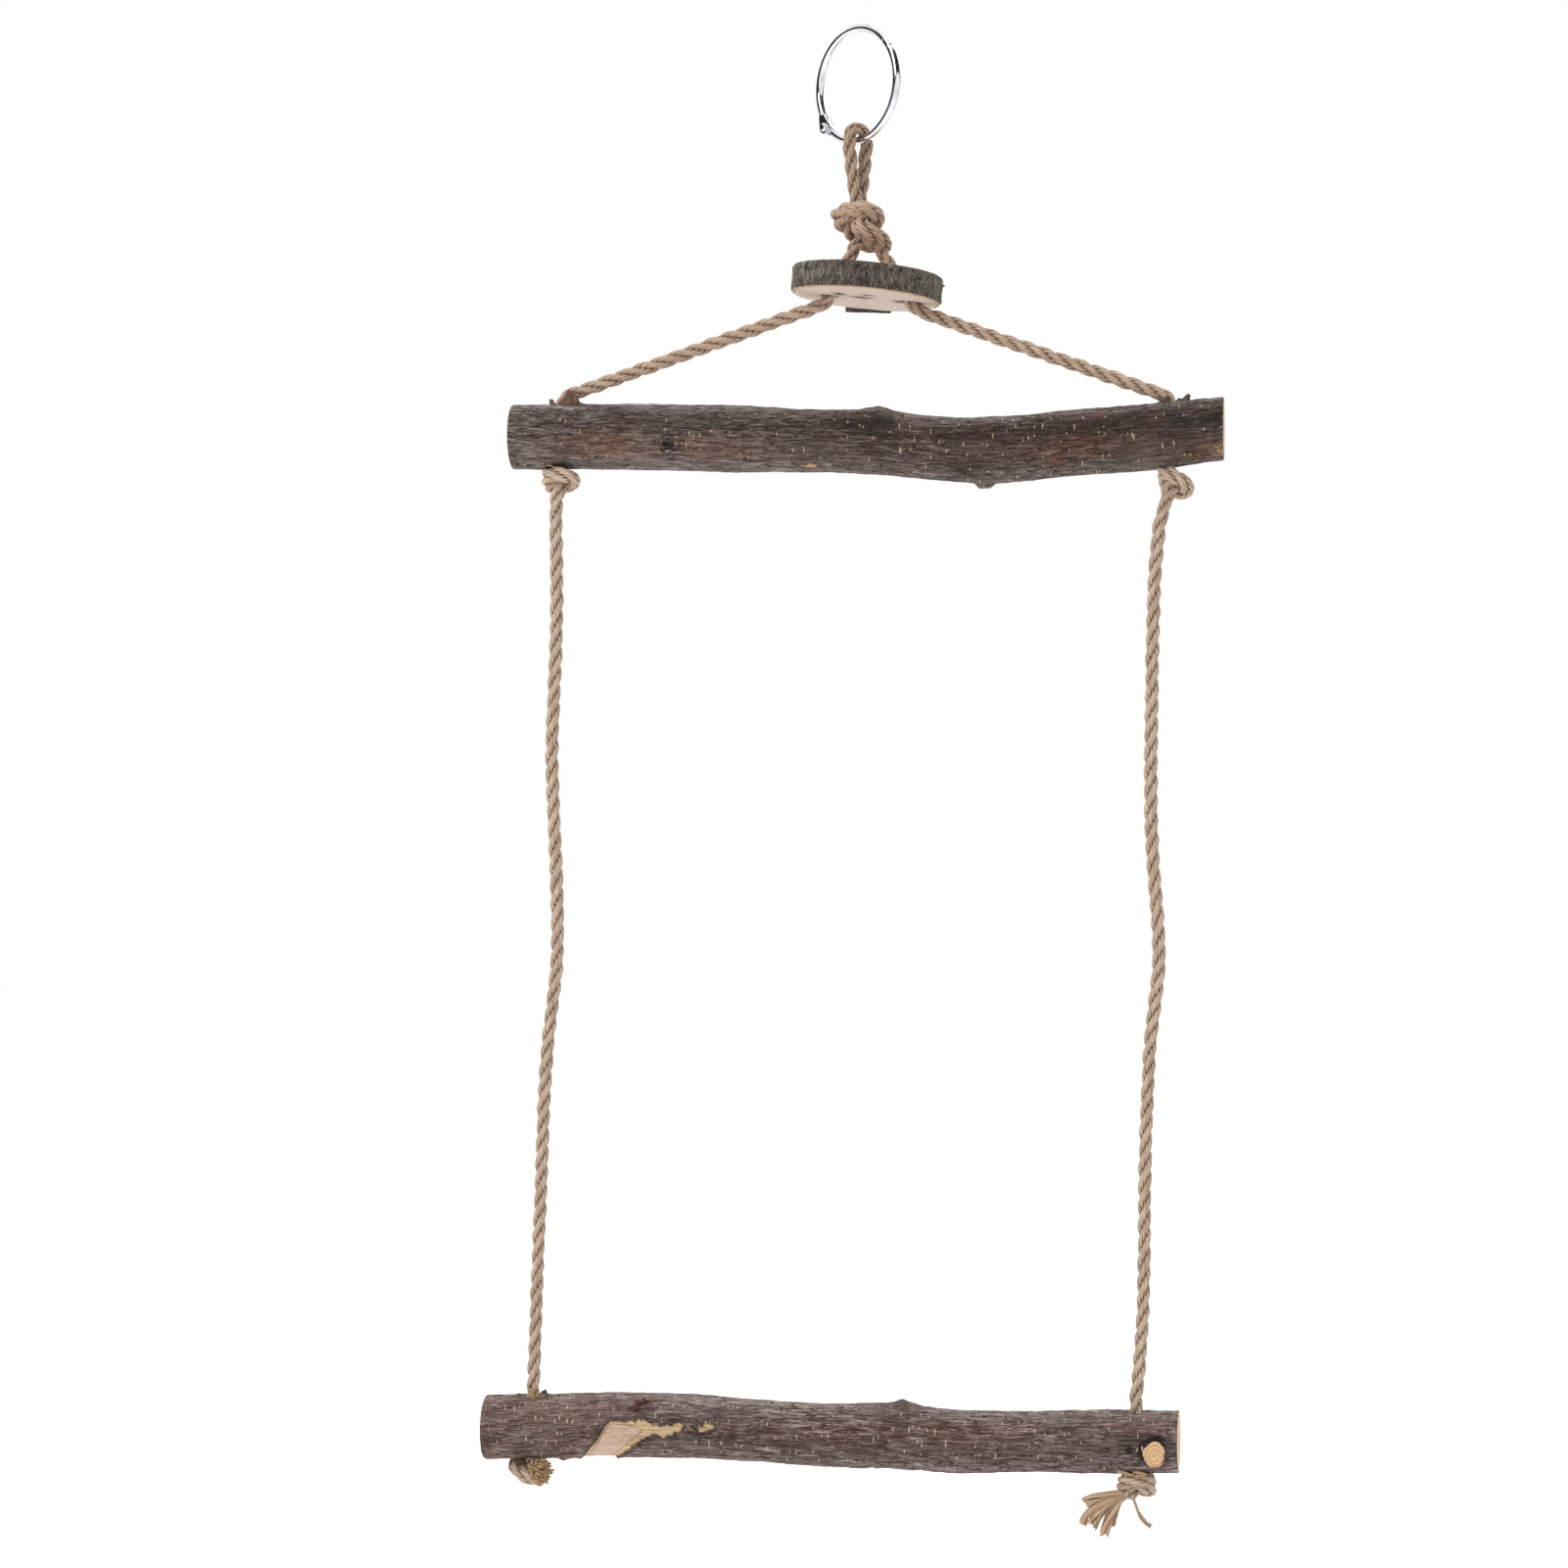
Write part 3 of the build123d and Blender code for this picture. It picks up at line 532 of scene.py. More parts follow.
def spline_points(name, route):
    """Points along the smooth NURBS line that has a route's points as its control points."""
    curve = bpy.data.curves.new(name, "CURVE")
    curve.dimensions = "3D"
    spline = curve.splines.new("NURBS")
    spline.points.add(len(route) - 1)
    for point, place in zip(spline.points, route):
        point.co = (*place, 1.0)
    spline.order_u = 3
    spline.use_endpoint_u = True
    spline.resolution_u = 24
    holder = bpy.data.objects.new(name, curve)
    mesh = bpy.data.meshes.new_from_object(holder)
    line = np.zeros(len(mesh.vertices) * 3)
    mesh.vertices.foreach_get("co", line)
    bpy.data.meshes.remove(mesh)
    bpy.data.curves.remove(curve)
    return line.reshape(-1, 3)


def along(line):
    """Distance along a line at each of its points."""
    return np.concatenate([[0], np.cumsum(np.linalg.norm(np.diff(line, axis=0), axis=1))])


def spaced(line, step):
    """A line again, with its points a step apart."""
    far = along(line)
    at = np.linspace(0, far[-1], max(3, int(round(far[-1] / step)) + 1))
    return np.stack([np.interp(at, far, line[:, k]) for k in range(3)], axis=1)


def smoothed(line, rounds):
    """A line after some rounds that bring each point but the ends towards its neighbours."""
    line = line.copy()
    for _ in range(rounds):
        line[1:-1] = line[1:-1] / 2 + (line[:-2] + line[2:]) / 4
    return line


def carried(flow, first):
    """Cross directions along a line, from the first one on, that turn as little as they can."""
    side = np.zeros_like(flow)
    side[0] = first
    for i in range(1, len(flow)):
        side[i] = unit(side[i - 1] - flow[i] * (side[i - 1] @ flow[i]))
    return side


def overhand(count, scale, way):
    """An open overhand knot, from its top down: third, fourth and fifth powers of a parameter make its crossings."""
    t = np.linspace(-KNOT_REACH, KNOT_REACH, count)
    return scale * np.stack([way * (t**3 - 3 * t), t**4 - 4 * t**2 + 2, -(t**5 - 10 * t)], axis=1)


def pull_tight(start, tops, lows, lengths, thick, rounds):
    """Ropes drawn tight in a knot. Each round brings the ends nearer to their places, shortens the steps between
    points, eases bends, and pushes apart any two places that are nearer than the rope is thick."""
    line = start.copy()
    ropes, count = line.shape[:2]
    first_step = np.linalg.norm(np.diff(start, axis=1), axis=2).mean(axis=1)
    last_step = np.array(lengths) / (count - 1)
    order = np.arange(ropes * count)
    rope = order // count
    for k in range(rounds):
        share = ease(k / (DRAWN_BY * rounds))
        step = (first_step + (last_step - first_step) * share)[:, None, None]
        apart = int(np.ceil(NEAR_ROPE * thick / step.min()))
        other = (rope[:, None] != rope[None]) | (np.abs(order[:, None] - order[None]) > apart)
        for _ in range(PULLS):
            gap = np.diff(line, axis=1)
            far = np.linalg.norm(gap, axis=2, keepdims=True)
            pull = PULL * gap * (1 - step / np.maximum(far, 1e-6))
            line[:, :-1] += pull
            line[:, 1:] -= pull
        line[:, 1:-1] += UNBEND * ((line[:, :-2] + line[:, 2:]) / 2 - line[:, 1:-1])
        for _ in range(PUSHES):
            flat = line.reshape(-1, 3)
            away = flat[:, None] - flat[None]
            far = np.linalg.norm(away, axis=2)
            press = np.where(other & (far < thick), (thick - far) / np.maximum(far, 1e-6), 0)
            line = (flat + PUSH * (press[:, :, None] * away).sum(axis=1)).reshape(line.shape)
        line[:, :HELD] = start[:, :HELD] + (tops - start[:, :HELD]) * share
        line[:, -HELD:] = start[:, -HELD:] + (lows - start[:, -HELD:]) * share
    return line


def turned(line, degrees):
    """A line turned about the upright axis."""
    c, s = cos(radians(degrees)), sin(radians(degrees))
    return line @ np.array([[c, s, 0], [-s, c, 0], [0, 0, 1]])


def tie(way, thick, reach, count=96):
    """An overhand knot in one rope, pulled tight about the origin between an end above it and one below."""
    length = 2 * reach + KNOT_TAKES * thick
    steps = np.arange(HELD)[:, None] * length / (count - 1)
    start = overhand(count, KNOT_OPEN * thick, way)
    tops, lows = DOWN * (steps - reach), DOWN * (reach - steps[::-1])
    return pull_tight(start[None], tops[None], lows[None], [length], thick, KNOT_ROUNDS)[0]


def tie_pair(way, thick, reach, turn, count=120):
    """The same knot in two ropes side by side: one thick line pulled tight, then a rope on each side of it."""
    core = tie(way, PAIR_CORE * thick, reach, count)
    flow = unit(np.gradient(core, axis=0))
    side = carried(flow, (1, 0, 0))
    beside = cos(radians(turn)) * side + sin(radians(turn)) * np.cross(flow, side)
    two = np.stack([core + beside * thick / 2, core - beside * thick / 2])
    lengths = [PAIR_DRAW * along(line)[-1] for line in two]
    return pull_tight(two, two[:, :HELD], two[:, -HELD:], lengths, thick, PAIR_ROUNDS)


def set_knot(line, knot, top, low, lead=KNOT_LEAD):
    """A tight knot turned, stretched and moved to its place, cut off above and below, with its ends led to theirs."""
    top, low = np.array(top, float), np.array(low, float)
    line = turned(line, knot["turn"]) * np.array(knot["shape"])
    body = line[len(line) // 4 : -(len(line) // 4)]
    line = spaced(line - (body.min(axis=0) + body.max(axis=0)) / 2 + np.array(knot["centre"]), ROPE_STEP)
    first = int(np.argmax(line[:, 2] < top[2]))
    last = len(line) - int(np.argmax(line[::-1, 2] > low[2]))
    line = smoothed(line[first:last], KNOT_SMOOTH)
    far = along(line)
    moved = line + (1 - ease(far / lead))[:, None] * (top - line[0])
    return moved + (1 - ease((far[-1] - far) / lead))[:, None] * (low - line[-1])


def route_of(side):
    """The places of one side rope, from its upper bend to its lower end."""
    top, drop = np.array(SWAY[side]), np.array(DROP)
    between = [top + drop * down + np.array([off, 0, 0]) for down, off in WAVE[side]]
    return [top, *between, top + drop]


def toward(start, end, distance):
    """The place at a distance from one place on the way to another."""
    start, end = np.array(start, float), np.array(end, float)
    return start + unit(end - start) * distance


def diagonal_points(side):
    """From the knot through the slice of branch, straight out to the perch and down its hole."""
    leg, pivot, mouth, low = LEG_TOP[side], PIVOT[side], MOUTH[side], HOLE_LOW[side]
    route = [
        leg,
        toward(pivot, leg, BEND_IN),
        pivot,
        toward(pivot, mouth, BEND_OUT),
        toward(pivot, mouth, STRAIGHT),
        toward(mouth, pivot, STRAIGHT),
        toward(mouth, pivot, BEND_IN),
        mouth,
        toward(mouth, low, BEND_IN),
        low,
    ]
    return spline_points(f"{side}_diagonal_line", route)


TOP_KNOT = {"centre": (1.3, 0.4, -56.2), "shape": (1.04, 0.9, 0.7), "turn": 45}
UPPER_KNOTS = {
    "left": {"centre": (-118.5, -0.6, -153.7), "shape": (1.3, 1, 0.5), "turn": 270, "way": -1},
    "right": {"centre": (123.7, -0.4, -157.0), "shape": (1.1, 1, 0.9), "turn": 225, "way": -1},
}
LOWER_KNOTS = {
    "left": {"centre": (-132.0, 0.2, -545.9), "shape": (1.25, 1, 0.78), "turn": 135, "way": -1},
    "right": {"centre": (109.1, -0.4, -545.4), "shape": (1.4, 1, 0.6), "turn": 90, "way": 1},
}
tied = {way: tie(way, KNOT_THICK, KNOT_ENDS) for way in (-1, 1)}
pair = dict(zip(SWAY, tie_pair(1, PAIR_THICK, PAIR_ENDS, PAIR_TURN)))
lower_end = {side: route_of(side)[-1] for side in SWAY}


def side_stretches(side):
    """The stretches of one side of the rope, from the top knot down to its end."""
    upper, lower, end = UPPER_KNOTS[side], LOWER_KNOTS[side], lower_end[side]
    last = set_knot(tied[lower["way"]], lower, (end[0], 0, LOWER_LOW[side]), LAST_END[side], LAST_LEAD)
    return {
        f"top_knot_{side}": set_knot(pair[side], TOP_KNOT, LOOP_END[side], LEG_TOP[side]),
        f"{side}_diagonal": diagonal_points(side),
        f"{side}_upper_knot": set_knot(tied[upper["way"]], upper, HOLE_LOW[side], NECK_TOP[side]),
        f"{side}_rope_neck": np.array([NECK_TOP[side], SWAY[side]]),
        f"{side}_side_rope": spline_points(f"{side}_side_line", route_of(side)),
        f"{side}_lower_knot": np.concatenate([[end], last]),
    }


stretches = {name: line[::-1] for name, line in reversed(side_stretches("right").items())}
stretches |= {"hanging_loop": spline_points("loop_line", LOOP_ROUTE), **side_stretches("left")}


def rope_frames(lines):
    """One rope from all its stretches: ring centres, directions and two cross directions that turn as little as
    they can."""
    spans, rings, first = {}, [], 0
    for name, line in lines.items():
        even = spaced(line, ROPE_STEP)
        rings.append(even if not rings else even[1:])
        last = first + len(even) - 1
        spans[name] = slice(first, last + 1)
        first = last
    line = smoothed(np.concatenate(rings), 2)
    flow = unit(np.gradient(line, axis=0))
    side = carried(flow, unit(np.cross(flow[0], (0.0, 1.0, 0.0))))
    return spans, {"at": line, "flow": flow, "side": side, "up": np.cross(flow, side), "far": along(line)}


spans, rope = rope_frames(stretches)


def strand_shell(part, worn, swell):
    """The strands of a stretch: each turns round the rope's middle line, and its yarns turn the other way round it.
    The rope swells between the stretch's ends by a share of its thickness."""
    wide = 1 + swell * np.sqrt(np.sin(np.linspace(0, pi, len(part["far"]))))
    strand = np.arange(STRANDS)[:, None]
    phase = 2 * pi * (part["far"] / LAY + strand / STRANDS)
    share = part["far"][None] / rope["far"][-1]
    wander = cloud(share, strand / STRANDS + 0.02, (STRAND_CELLS, STRANDS), STRAND_SEED)
    out = STRAND_OUT * wide * (0.94 + 0.12 * wander)
    middle = part["at"] + out[..., None] * around(phase, part["side"], part["up"])
    columns = YARNS * YARN_COLUMNS
    lobe = np.arange(columns) / YARN_COLUMNS
    ridge = np.abs(np.cos(pi * (lobe - 0.5)))
    angle = 2 * pi * lobe / YARNS - YARN_TURN * phase[..., None]
    radius = STRAND_R * (wide * (0.95 + 0.1 * wander))[..., None] * (1 - YARN_GROOVE * (1 - ridge) ** 1.5)
    points = middle[:, :, None] + radius[..., None] * around(angle, part["side"][:, None], part["up"][:, None])
    inward = np.linalg.norm(points - part["at"][None, :, None], axis=-1)
    # Painted shade: darker between the yarns and towards the rope's middle, and deeper in the knots and the loop
    groove = np.clip(((1 - ridge) * 0.6 + (2.3 - inward / wide[:, None]) * 0.45) * (1 + 0.7 * worn), 0, 1)
    v = np.arange(columns + 1) * 2 * pi * STRAND_R / columns + STRAND_SEAM * strand[..., None]
    uv = map_of(part["far"][None, :, None], v)
    return tubes(points, uv, {"groove": groove, "worn": np.full(groove.shape, worn)})


def hair_shell(part, seed, per_mm=HAIRS_PER_MM, radius=ROPE_D / 2 * 0.82):
    """Loose fibres: each starts inside the rope, runs off along it while it lifts, and curls with the square of its
    length."""
    draw = np.random.default_rng(seed)
    count = int(per_mm * (part["far"][-1] - part["far"][0]))
    i = draw.integers(2, len(part["far"]) - 2, count)
    out = around(draw.random(count) * 2 * pi, part["side"][i], part["up"][i])
    beside = np.cross(part["flow"][i], out)
    lift = radians(12) + radians(34) * draw.random(count) ** 1.5
    way = np.where(draw.random(count) < 0.5, -1, 1)
    run = (way * np.cos(lift))[:, None] * part["flow"][i] + np.sin(lift)[:, None] * out
    run = unit(run + beside * draw.normal(0, 0.35, count)[:, None])
    length = HAIR_L[0] + (HAIR_L[1] - HAIR_L[0]) * draw.random(count) ** 2.2
    curl = np.clip(draw.normal(0, 0.3, (count, 3)), -0.35, 0.35)
    t = np.linspace(0, 1, HAIR_ROWS)[None, :, None]
    root = part["at"][i] + out * radius
    line = root[:, None] + length[:, None, None] * (t * run[:, None] + t * t * curl[:, None] * 0.5)
    across = unit(np.cross(run, out + 0.3))
    over = np.cross(run, across)
    ring = around(2 * pi * np.arange(HAIR_SIDES) / HAIR_SIDES, across[:, None, None], over[:, None, None])
    return tubes(line[:, :, None] + HAIR_R * (1.0 - 0.75 * t[..., None]) * ring, finish=1)


def settle(made, slot, *nodes, body=None):
    """Hides the nodes that a piece stands in for and hangs it on the body that it rides on; its slot is not used."""
    if nodes:
        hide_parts(*nodes)
    if body:
        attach(made, body)
    return made


def rope_piece(name, *used, seed, nodes=None, body=None, worn=0.1, swell=0.0):
    """The strands and loose fibres of stretches, in place of these nodes or else of those with the same names."""
    shells = []
    for stretch in used:
        part = {key: value[spans[stretch]] for key, value in rope.items()}
        shells += [strand_shell(part, worn, swell), hair_shell(part, seed)]
    return settle(piece(name, shells, [jute, fibres]), "jute_rope", *(nodes or used), body=body)


def metres(place):
    return tuple(float(c) * MM for c in place)


def declare(name):
    """Takes a stretch's ring centres in metres, turned round on the right side; nothing more is done with them."""
    path = rope["at"][spans[name]] * MM
    path = path[::-1] if name.startswith("right") else path


# Each rope piece's share of wear also darkens it as painted shade, most in the loop and the top knot
loop = rope_piece("hanging_loop_rope", "hanging_loop", seed=11, worn=0.45)
both = ("top_knot_left", "top_knot_right")
knot = rope_piece("top_knot_rope", *both, seed=12, nodes=["top_knot"], body="hanger", worn=0.36, swell=0.27)
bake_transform(loop)
declare("hanging_loop")
ends = {}
for k, side in enumerate(SWAY):
    nodes = (f"{side}_leg", f"{side}_diagonal")
    diagonal = rope_piece(f"{side}_diagonal_rope", f"{side}_diagonal", seed=21 + k, nodes=nodes, worn=0.25)
    bend_end = toward(PIVOT[side], MOUTH[side], BEND_OUT)
    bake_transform(diagonal)
    upper_knot = rope_piece(f"{side}_upper_knot_rope", f"{side}_upper_knot", seed=31 + k, body="upper", swell=0.08)
    declare(f"{side}_diagonal")
    neck = rope_piece(f"{side}_neck_rope", f"{side}_rope_neck", seed=41 + k)
    neck_start, neck_end = rope["at"][spans[f"{side}_rope_neck"]][[0, -1] if side == "left" else [-1, 0]]
    neck_end = toward(neck_start, neck_end, NECK_BEND)
    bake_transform(neck)
    side_rope = rope_piece(f"{side}_side_rope_strands", f"{side}_side_rope", seed=51 + k)
    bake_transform(side_rope)
    lower_knot = rope_piece(f"{side}_lower_knot_rope", f"{side}_lower_knot", seed=61 + k, body="lower", swell=0.06)
    ends[side] = (side_rope, neck, lower_knot)

# Branches: grids of rings, with small rings over the flat ends

BRANCH_ROWS = 440
BRANCH_COLUMNS = 144
FACE_SHARES = (0.03, 0.2, 0.4, 0.6, 0.78, 0.91)
EDGE_SHARE = 0.985
EDGE_MM = 0.12
RIM_MM = 0.7
END_PALE = 0.55
SEAM_SHIFT = 60
HOLE_R = 3.1
HOLE_SIDES = 24
UPPER = {
    "start": (-137.7, 0, -136.149),
    "slant": 0.0,
    "length": 280.3,
    "thick": 25.4,
    "drops": (0.0, 0.012, 0.031, 0.071, 0.11, 0.146, 0.25, 0.275, 0.197, 0.13, 0.016),
    "bows": (0.0, 0.01, 0.02, 0.03, 0.05, 0.06, 0.05, 0.02, -0.01, -0.02, 0.01),
    "girths": (1.005, 1.015, 1.02, 1.015, 0.98, 0.99, 0.97, 1.0, 1.004, 0.99, 0.94),
}
LOWER = {
    "start": (-148.7, 0, -526.87),
    "slant": 0.025,
    "length": 274.0,
    "thick": 24.8,
    "drops": (0.093, 0.06, 0.012, 0.0, 0.04, 0.077, 0.085, 0.137, 0.117, 0.097, 0.065),
    "bows": (0.0, 0.01, 0.02, 0.0, -0.03, -0.05, -0.04, 0.0, 0.03, 0.03, 0.0),
    "girths": (1.004, 1.02, 1.04, 1.016, 0.98, 0.976, 1.004, 0.984, 0.968, 0.976, 0.964),
}
FLAT_SHARE = 0.98


def bark_height(u, v, seed):
    """Bark relief in millimetres: wide lumps, ridges along the branch, a fine grain and narrow cracks."""
    lumps = (cloud(u, v, (9, 5), seed) - 0.5) * 0.8
    ridges = (cloud(u, v, (22, 36), seed + 1) - 0.5) * 0.5
    grain = (cloud(u, v, (110, 84), seed + 2) - 0.5) * 0.34
    crack = 1 - np.abs(2 * cloud(u, v, (15, 46), seed + 3) - 1)
    return lumps + ridges + grain - 0.45 * crack**10


def aside(angle, at_angle, r):
    """Distance round a branch from an angle, in millimetres."""
    return np.radians((angle - at_angle + 180) % 360 - 180) * r


def spot(x, angle, r, at, turn, wide, tall):
    """1 at a place on a branch, falling off as a bell does along and round it."""
    return np.exp(-(((x - at) / wide) ** 2) - (aside(angle, turn, r) / tall) ** 2)


def spots(x, angle, r, rows):
    """A sum of spots: each has its strength, its place along and round the branch, and its length and width."""
    return sum(strength * spot(x, angle, r, *row) for strength, *row in rows)


def inside(x, s, corners):
    """How far a place lies inside a polygon, in millimetres; less than nothing outside."""
    a = np.array(corners, float)
    b = np.roll(a, -1, axis=0)
    x, s = x[..., None], s[..., None]
    edge = b - a
    t = ((x - a[:, 0]) * edge[:, 0] + (s - a[:, 1]) * edge[:, 1]) / (edge**2).sum(axis=1)
    t = np.clip(t, 0, 1)
    far = np.hypot(x - a[:, 0] - t * edge[:, 0], s - a[:, 1] - t * edge[:, 1]).min(axis=-1)
    cross = a[:, 0] + edge[:, 0] * (s - a[:, 1]) / np.where(edge[:, 1] == 0, 1e-9, edge[:, 1])
    odd = (((a[:, 1] > s) != (b[:, 1] > s)) & (x < cross)).sum(axis=-1) % 2
    return np.where(odd == 1, far, -far)


def face_arc(share, r):
    """Millimetres round a branch, from its top, of a place that lies a share of the way down what the camera sees."""
    return r * (np.arccos(1 - 2 * np.array(share)) - radians(CAMERA_DIP))


def outline(corners, r):
    """A polygon given along a branch and by shares down its face, as millimetres along and round it."""
    return [(x, float(face_arc(share, r)) + sum(extra)) for x, share, *extra in corners]


def fold(angle):
    """Degrees from the top of a branch, on either side of it."""
    return np.minimum(angle % 360, 360 - angle % 360)


def branch_piece(name, branch, marks, seed, material):
    """A crooked branch: rings across X whose middles drop and bow along tables, pushed in and out by the bark, with
    flat ends of shrinking rings. marks gives the lift of what grows or is torn on it, and the values that its paint
    reads."""
    length, thick = branch["length"], branch["thick"]
    face = np.array(FACE_SHARES)
    body = np.linspace(RIM_MM, length - RIM_MM, BRANCH_ROWS)
    x = np.concatenate([0 * face, [EDGE_MM], body, [length - EDGE_MM], 0 * face + length])
    share = np.concatenate([face, [EDGE_SHARE], 1 + 0 * body, [EDGE_SHARE], face[::-1]])[:, None]
    t = x / length
    u, v = np.meshgrid(t, np.arange(BRANCH_COLUMNS) / BRANCH_COLUMNS, indexing="ij")
    angle = v * 360
    place = branch["start"][0] + x[:, None] + 0 * v
    radius = (row_at(branch["girths"], t) * thick / 2)[:, None]
    lift, values = marks(place, angle, radius, u, v)
    out = (radius + lift + bark_height(u, v, seed) * values.pop("rough")) * share
    turn = np.radians(angle)
    y = (row_at(branch["bows"], t) * thick)[:, None] - FLAT_SHARE * out * np.sin(turn)
    z = (branch["start"][2] - row_at(branch["drops"], t) * thick)[:, None] + out * np.cos(turn)
    place = place + branch["slant"] * ease((u - 0.97) / 0.03) * y
    flat_end = (share < 0.95) + 0 * v
    values["end"] = np.maximum(values["end"], flat_end)
    values["ring"] = np.where(flat_end > 0, out, values["ring"])
    values["pale"] = np.where(flat_end > 0, END_PALE, values["pale"])
    values["red"] = np.where(flat_end > 0, 0, values["red"])
    seam = np.arange(BRANCH_COLUMNS + 1) / BRANCH_COLUMNS * pi * thick
    uv = map_of(place[:, :1], seam[None] + SEAM_SHIFT * seed)
    return grid_piece(name, np.stack([place, y, z], axis=-1), uv, values, material)


def drill(made, shafts, radius):
    """Takes round shafts, each from one place to another, out of a piece."""
    ends = np.array(shafts, float)
    flow = unit(ends[:, 1] - ends[:, 0])
    side = unit(np.cross(flow, (0.0, 1.0, 0.0)))
    ring = around(2 * pi * np.arange(HOLE_SIDES) / HOLE_SIDES, side[:, None], np.cross(flow, side)[:, None])
    cutter = piece("shaft_cutter", [tubes(ends[:, :, None] + radius * ring[:, None])], [])
    cut = made.modifiers.new("shafts", "BOOLEAN")
    cut.operation, cut.solver, cut.object = "DIFFERENCE", "EXACT", cutter
    graph = bpy.context.evaluated_depsgraph_get()
    solid, drilled = made.data, bpy.data.meshes.new_from_object(made.evaluated_get(graph), depsgraph=graph)
    made.modifiers.clear()
    made.data = drilled
    bpy.data.objects.remove(cutter)
    bpy.data.meshes.remove(solid)


# Spots of the upper branch: strength, place along it, degrees round it, length and width
UPPER_LIFT = ((0.9, 49.0, 172, 12, 8), (0.5, 8.0, 10, 11, 9))
UPPER_RED = (
    (0.75, -97.6, 109, 18, 5.5), (0.55, -58.8, 114, 20, 5), (0.7, 136, 138, 8, 5), (0.65, 84.8, 98, 22, 5.5),
    (1, 95.2, 42, 2.0, 2.2), (1, 116.4, 57, 2.2, 2.4), (1, 78.3, 124, 1.6, 3.4), (0.7, 10, 4, 6, 4),
)
UPPER_DARK = ((0.55, 44, 136, 8, 6), (0.45, 5, 54, 11, 8), (0.9, -118, 170, 4.5, 6))


def upper_marks(x, angle, r, u, v):
    """What shows on the upper branch: a bud scar on top, a stub below, an eye on the front, chips and red patches."""
    rough = 0.6 + 0.8 * cloud(u, v, (60, 40), 41)
    bud = spot(x, angle, r, 8.0, 0, 4.4, 4.4)
    stub = 1 - ease((np.hypot((x - 50.0) / 3.6, aside(angle, 178, r) / 3.4) - 0.55) / 0.75)
    eye = np.hypot((x + 73.5) / 2.6, aside(angle, 108, r) / 3.0)
    wrinkle = np.sin(8.5 * eye + 10 * cloud(u, v, (110, 60), 46)) * bell(eye / 2.0)
    jag = cloud(u, v, (150, 60), 42) - 0.5
    grit = cloud(u, v, (400, 130), 45) - 0.5
    chip = 2.9 - np.hypot((x + 18.4) * 0.75, aside(angle, 150, r) * 2.2) + jag * 3.4
    corner = 1.3 - np.hypot((x - 142.4) * 0.42, aside(angle, 140, r) * 0.26) + grit * 3.6
    torn = ease(np.maximum(chip, corner) / 1.2)
    lift = 1.6 * bud * rough + 1.9 * stub * rough + spots(x, angle, r, UPPER_LIFT)
    lift = lift + 0.5 * bell((eye - 1.2) / 0.4) * rough - 0.9 * bell(eye / 0.8) + 0.4 * wrinkle - 0.7 * torn
    uneven_shade = 0.55 + 0.9 * cloud(u, v, (16, 7), 43)
    dark = 0.7 * bell(eye / 0.7) + 0.5 * (wrinkle > 0.18) + 0.25 * bell(eye / 1.7) + 0.6 * torn + 0.3 * bud * rough
    # Painted shade: a darker, uneven band across the front below the top, partly darker bark
    dark = dark + 0.42 * bell((fold(angle) - 68) / 23) * uneven_shade + spots(x, angle, r, UPPER_DARK)
    dark = dark + 0.2 * ease((x - 20) / 60) * ease(fold(angle) / 60)
    # Painted light: the top and the underside lighter, as light falls on them; the top is also paler weathered bark
    pale = 0.8 * ease((56 - fold(angle)) / 44) + 0.3 * ease((fold(angle) - 118) / 30) + 0.4 * (wrinkle < -0.25)
    pale = pale + 0.22 * ease(-x / 60)
    return lift, {
        "rough": 1 - 0.75 * torn,
        "torn": torn,
        "core": 0 * x - 9,
        "end": 0 * x,
        "ring": 0 * x,
        "red": np.clip(spots(x, angle, r, UPPER_RED), 0, 1),
        "dark": np.clip(dark, 0, 1),
        "pale": pale * (0.5 + cloud(u, v, (24, 10), 44)),
        "ticks": 0.5 + 0.6 * ease((x + 30) / 50),
    }


# Torn places of the lower branch: millimetres along it, shares of the way down its face, and millimetres past that
TORN_PATCH = (
    (-110.6, 1.0, 5.0), (-109.7, 1.0), (-105.8, 0.89), (-101.1, 0.71), (-98.7, 0.54), (-96.4, 0.445), (-90.4, 0.466),
    (-85.1, 0.445), (-83.5, 0.4), (-81.1, 0.476), (-75.8, 0.505), (-72.5, 0.5), (-68.9, 0.427), (-67.1, 0.497),
    (-68.0, 0.565), (-71.8, 0.64), (-75.8, 0.686), (-79.1, 0.644), (-83.9, 0.733), (-89.9, 0.89), (-95.0, 0.985),
    (-97.0, 1.0, 5.0),
)
TORN_CORE = (
    (-110.0, 1.0, 5.0), (-109.0, 1.0), (-100.6, 0.735), (-98.0, 0.565), (-95.8, 0.48), (-90.4, 0.505), (-85.1, 0.545),
    (-83.4, 0.59), (-85.3, 0.655), (-89.2, 0.76), (-92.0, 0.87), (-97.5, 0.985), (-100.0, 1.0, 5.0),
)
TORN_TONGUE = (
    (-67.0, 0.56), (-62.2, 0.53), (-59.3, 0.471), (-54.0, 0.427), (-55.6, 0.537), (-59.3, 0.581), (-62.2, 0.56),
)
NICK = (
    (-89.6, 0.29), (-89.2, 0.196), (-86.5, 0.144), (-83.0, 0.08),
    (-79.2, 0.1), (-80.4, 0.157), (-84.7, 0.22), (-86.7, 0.29),
)

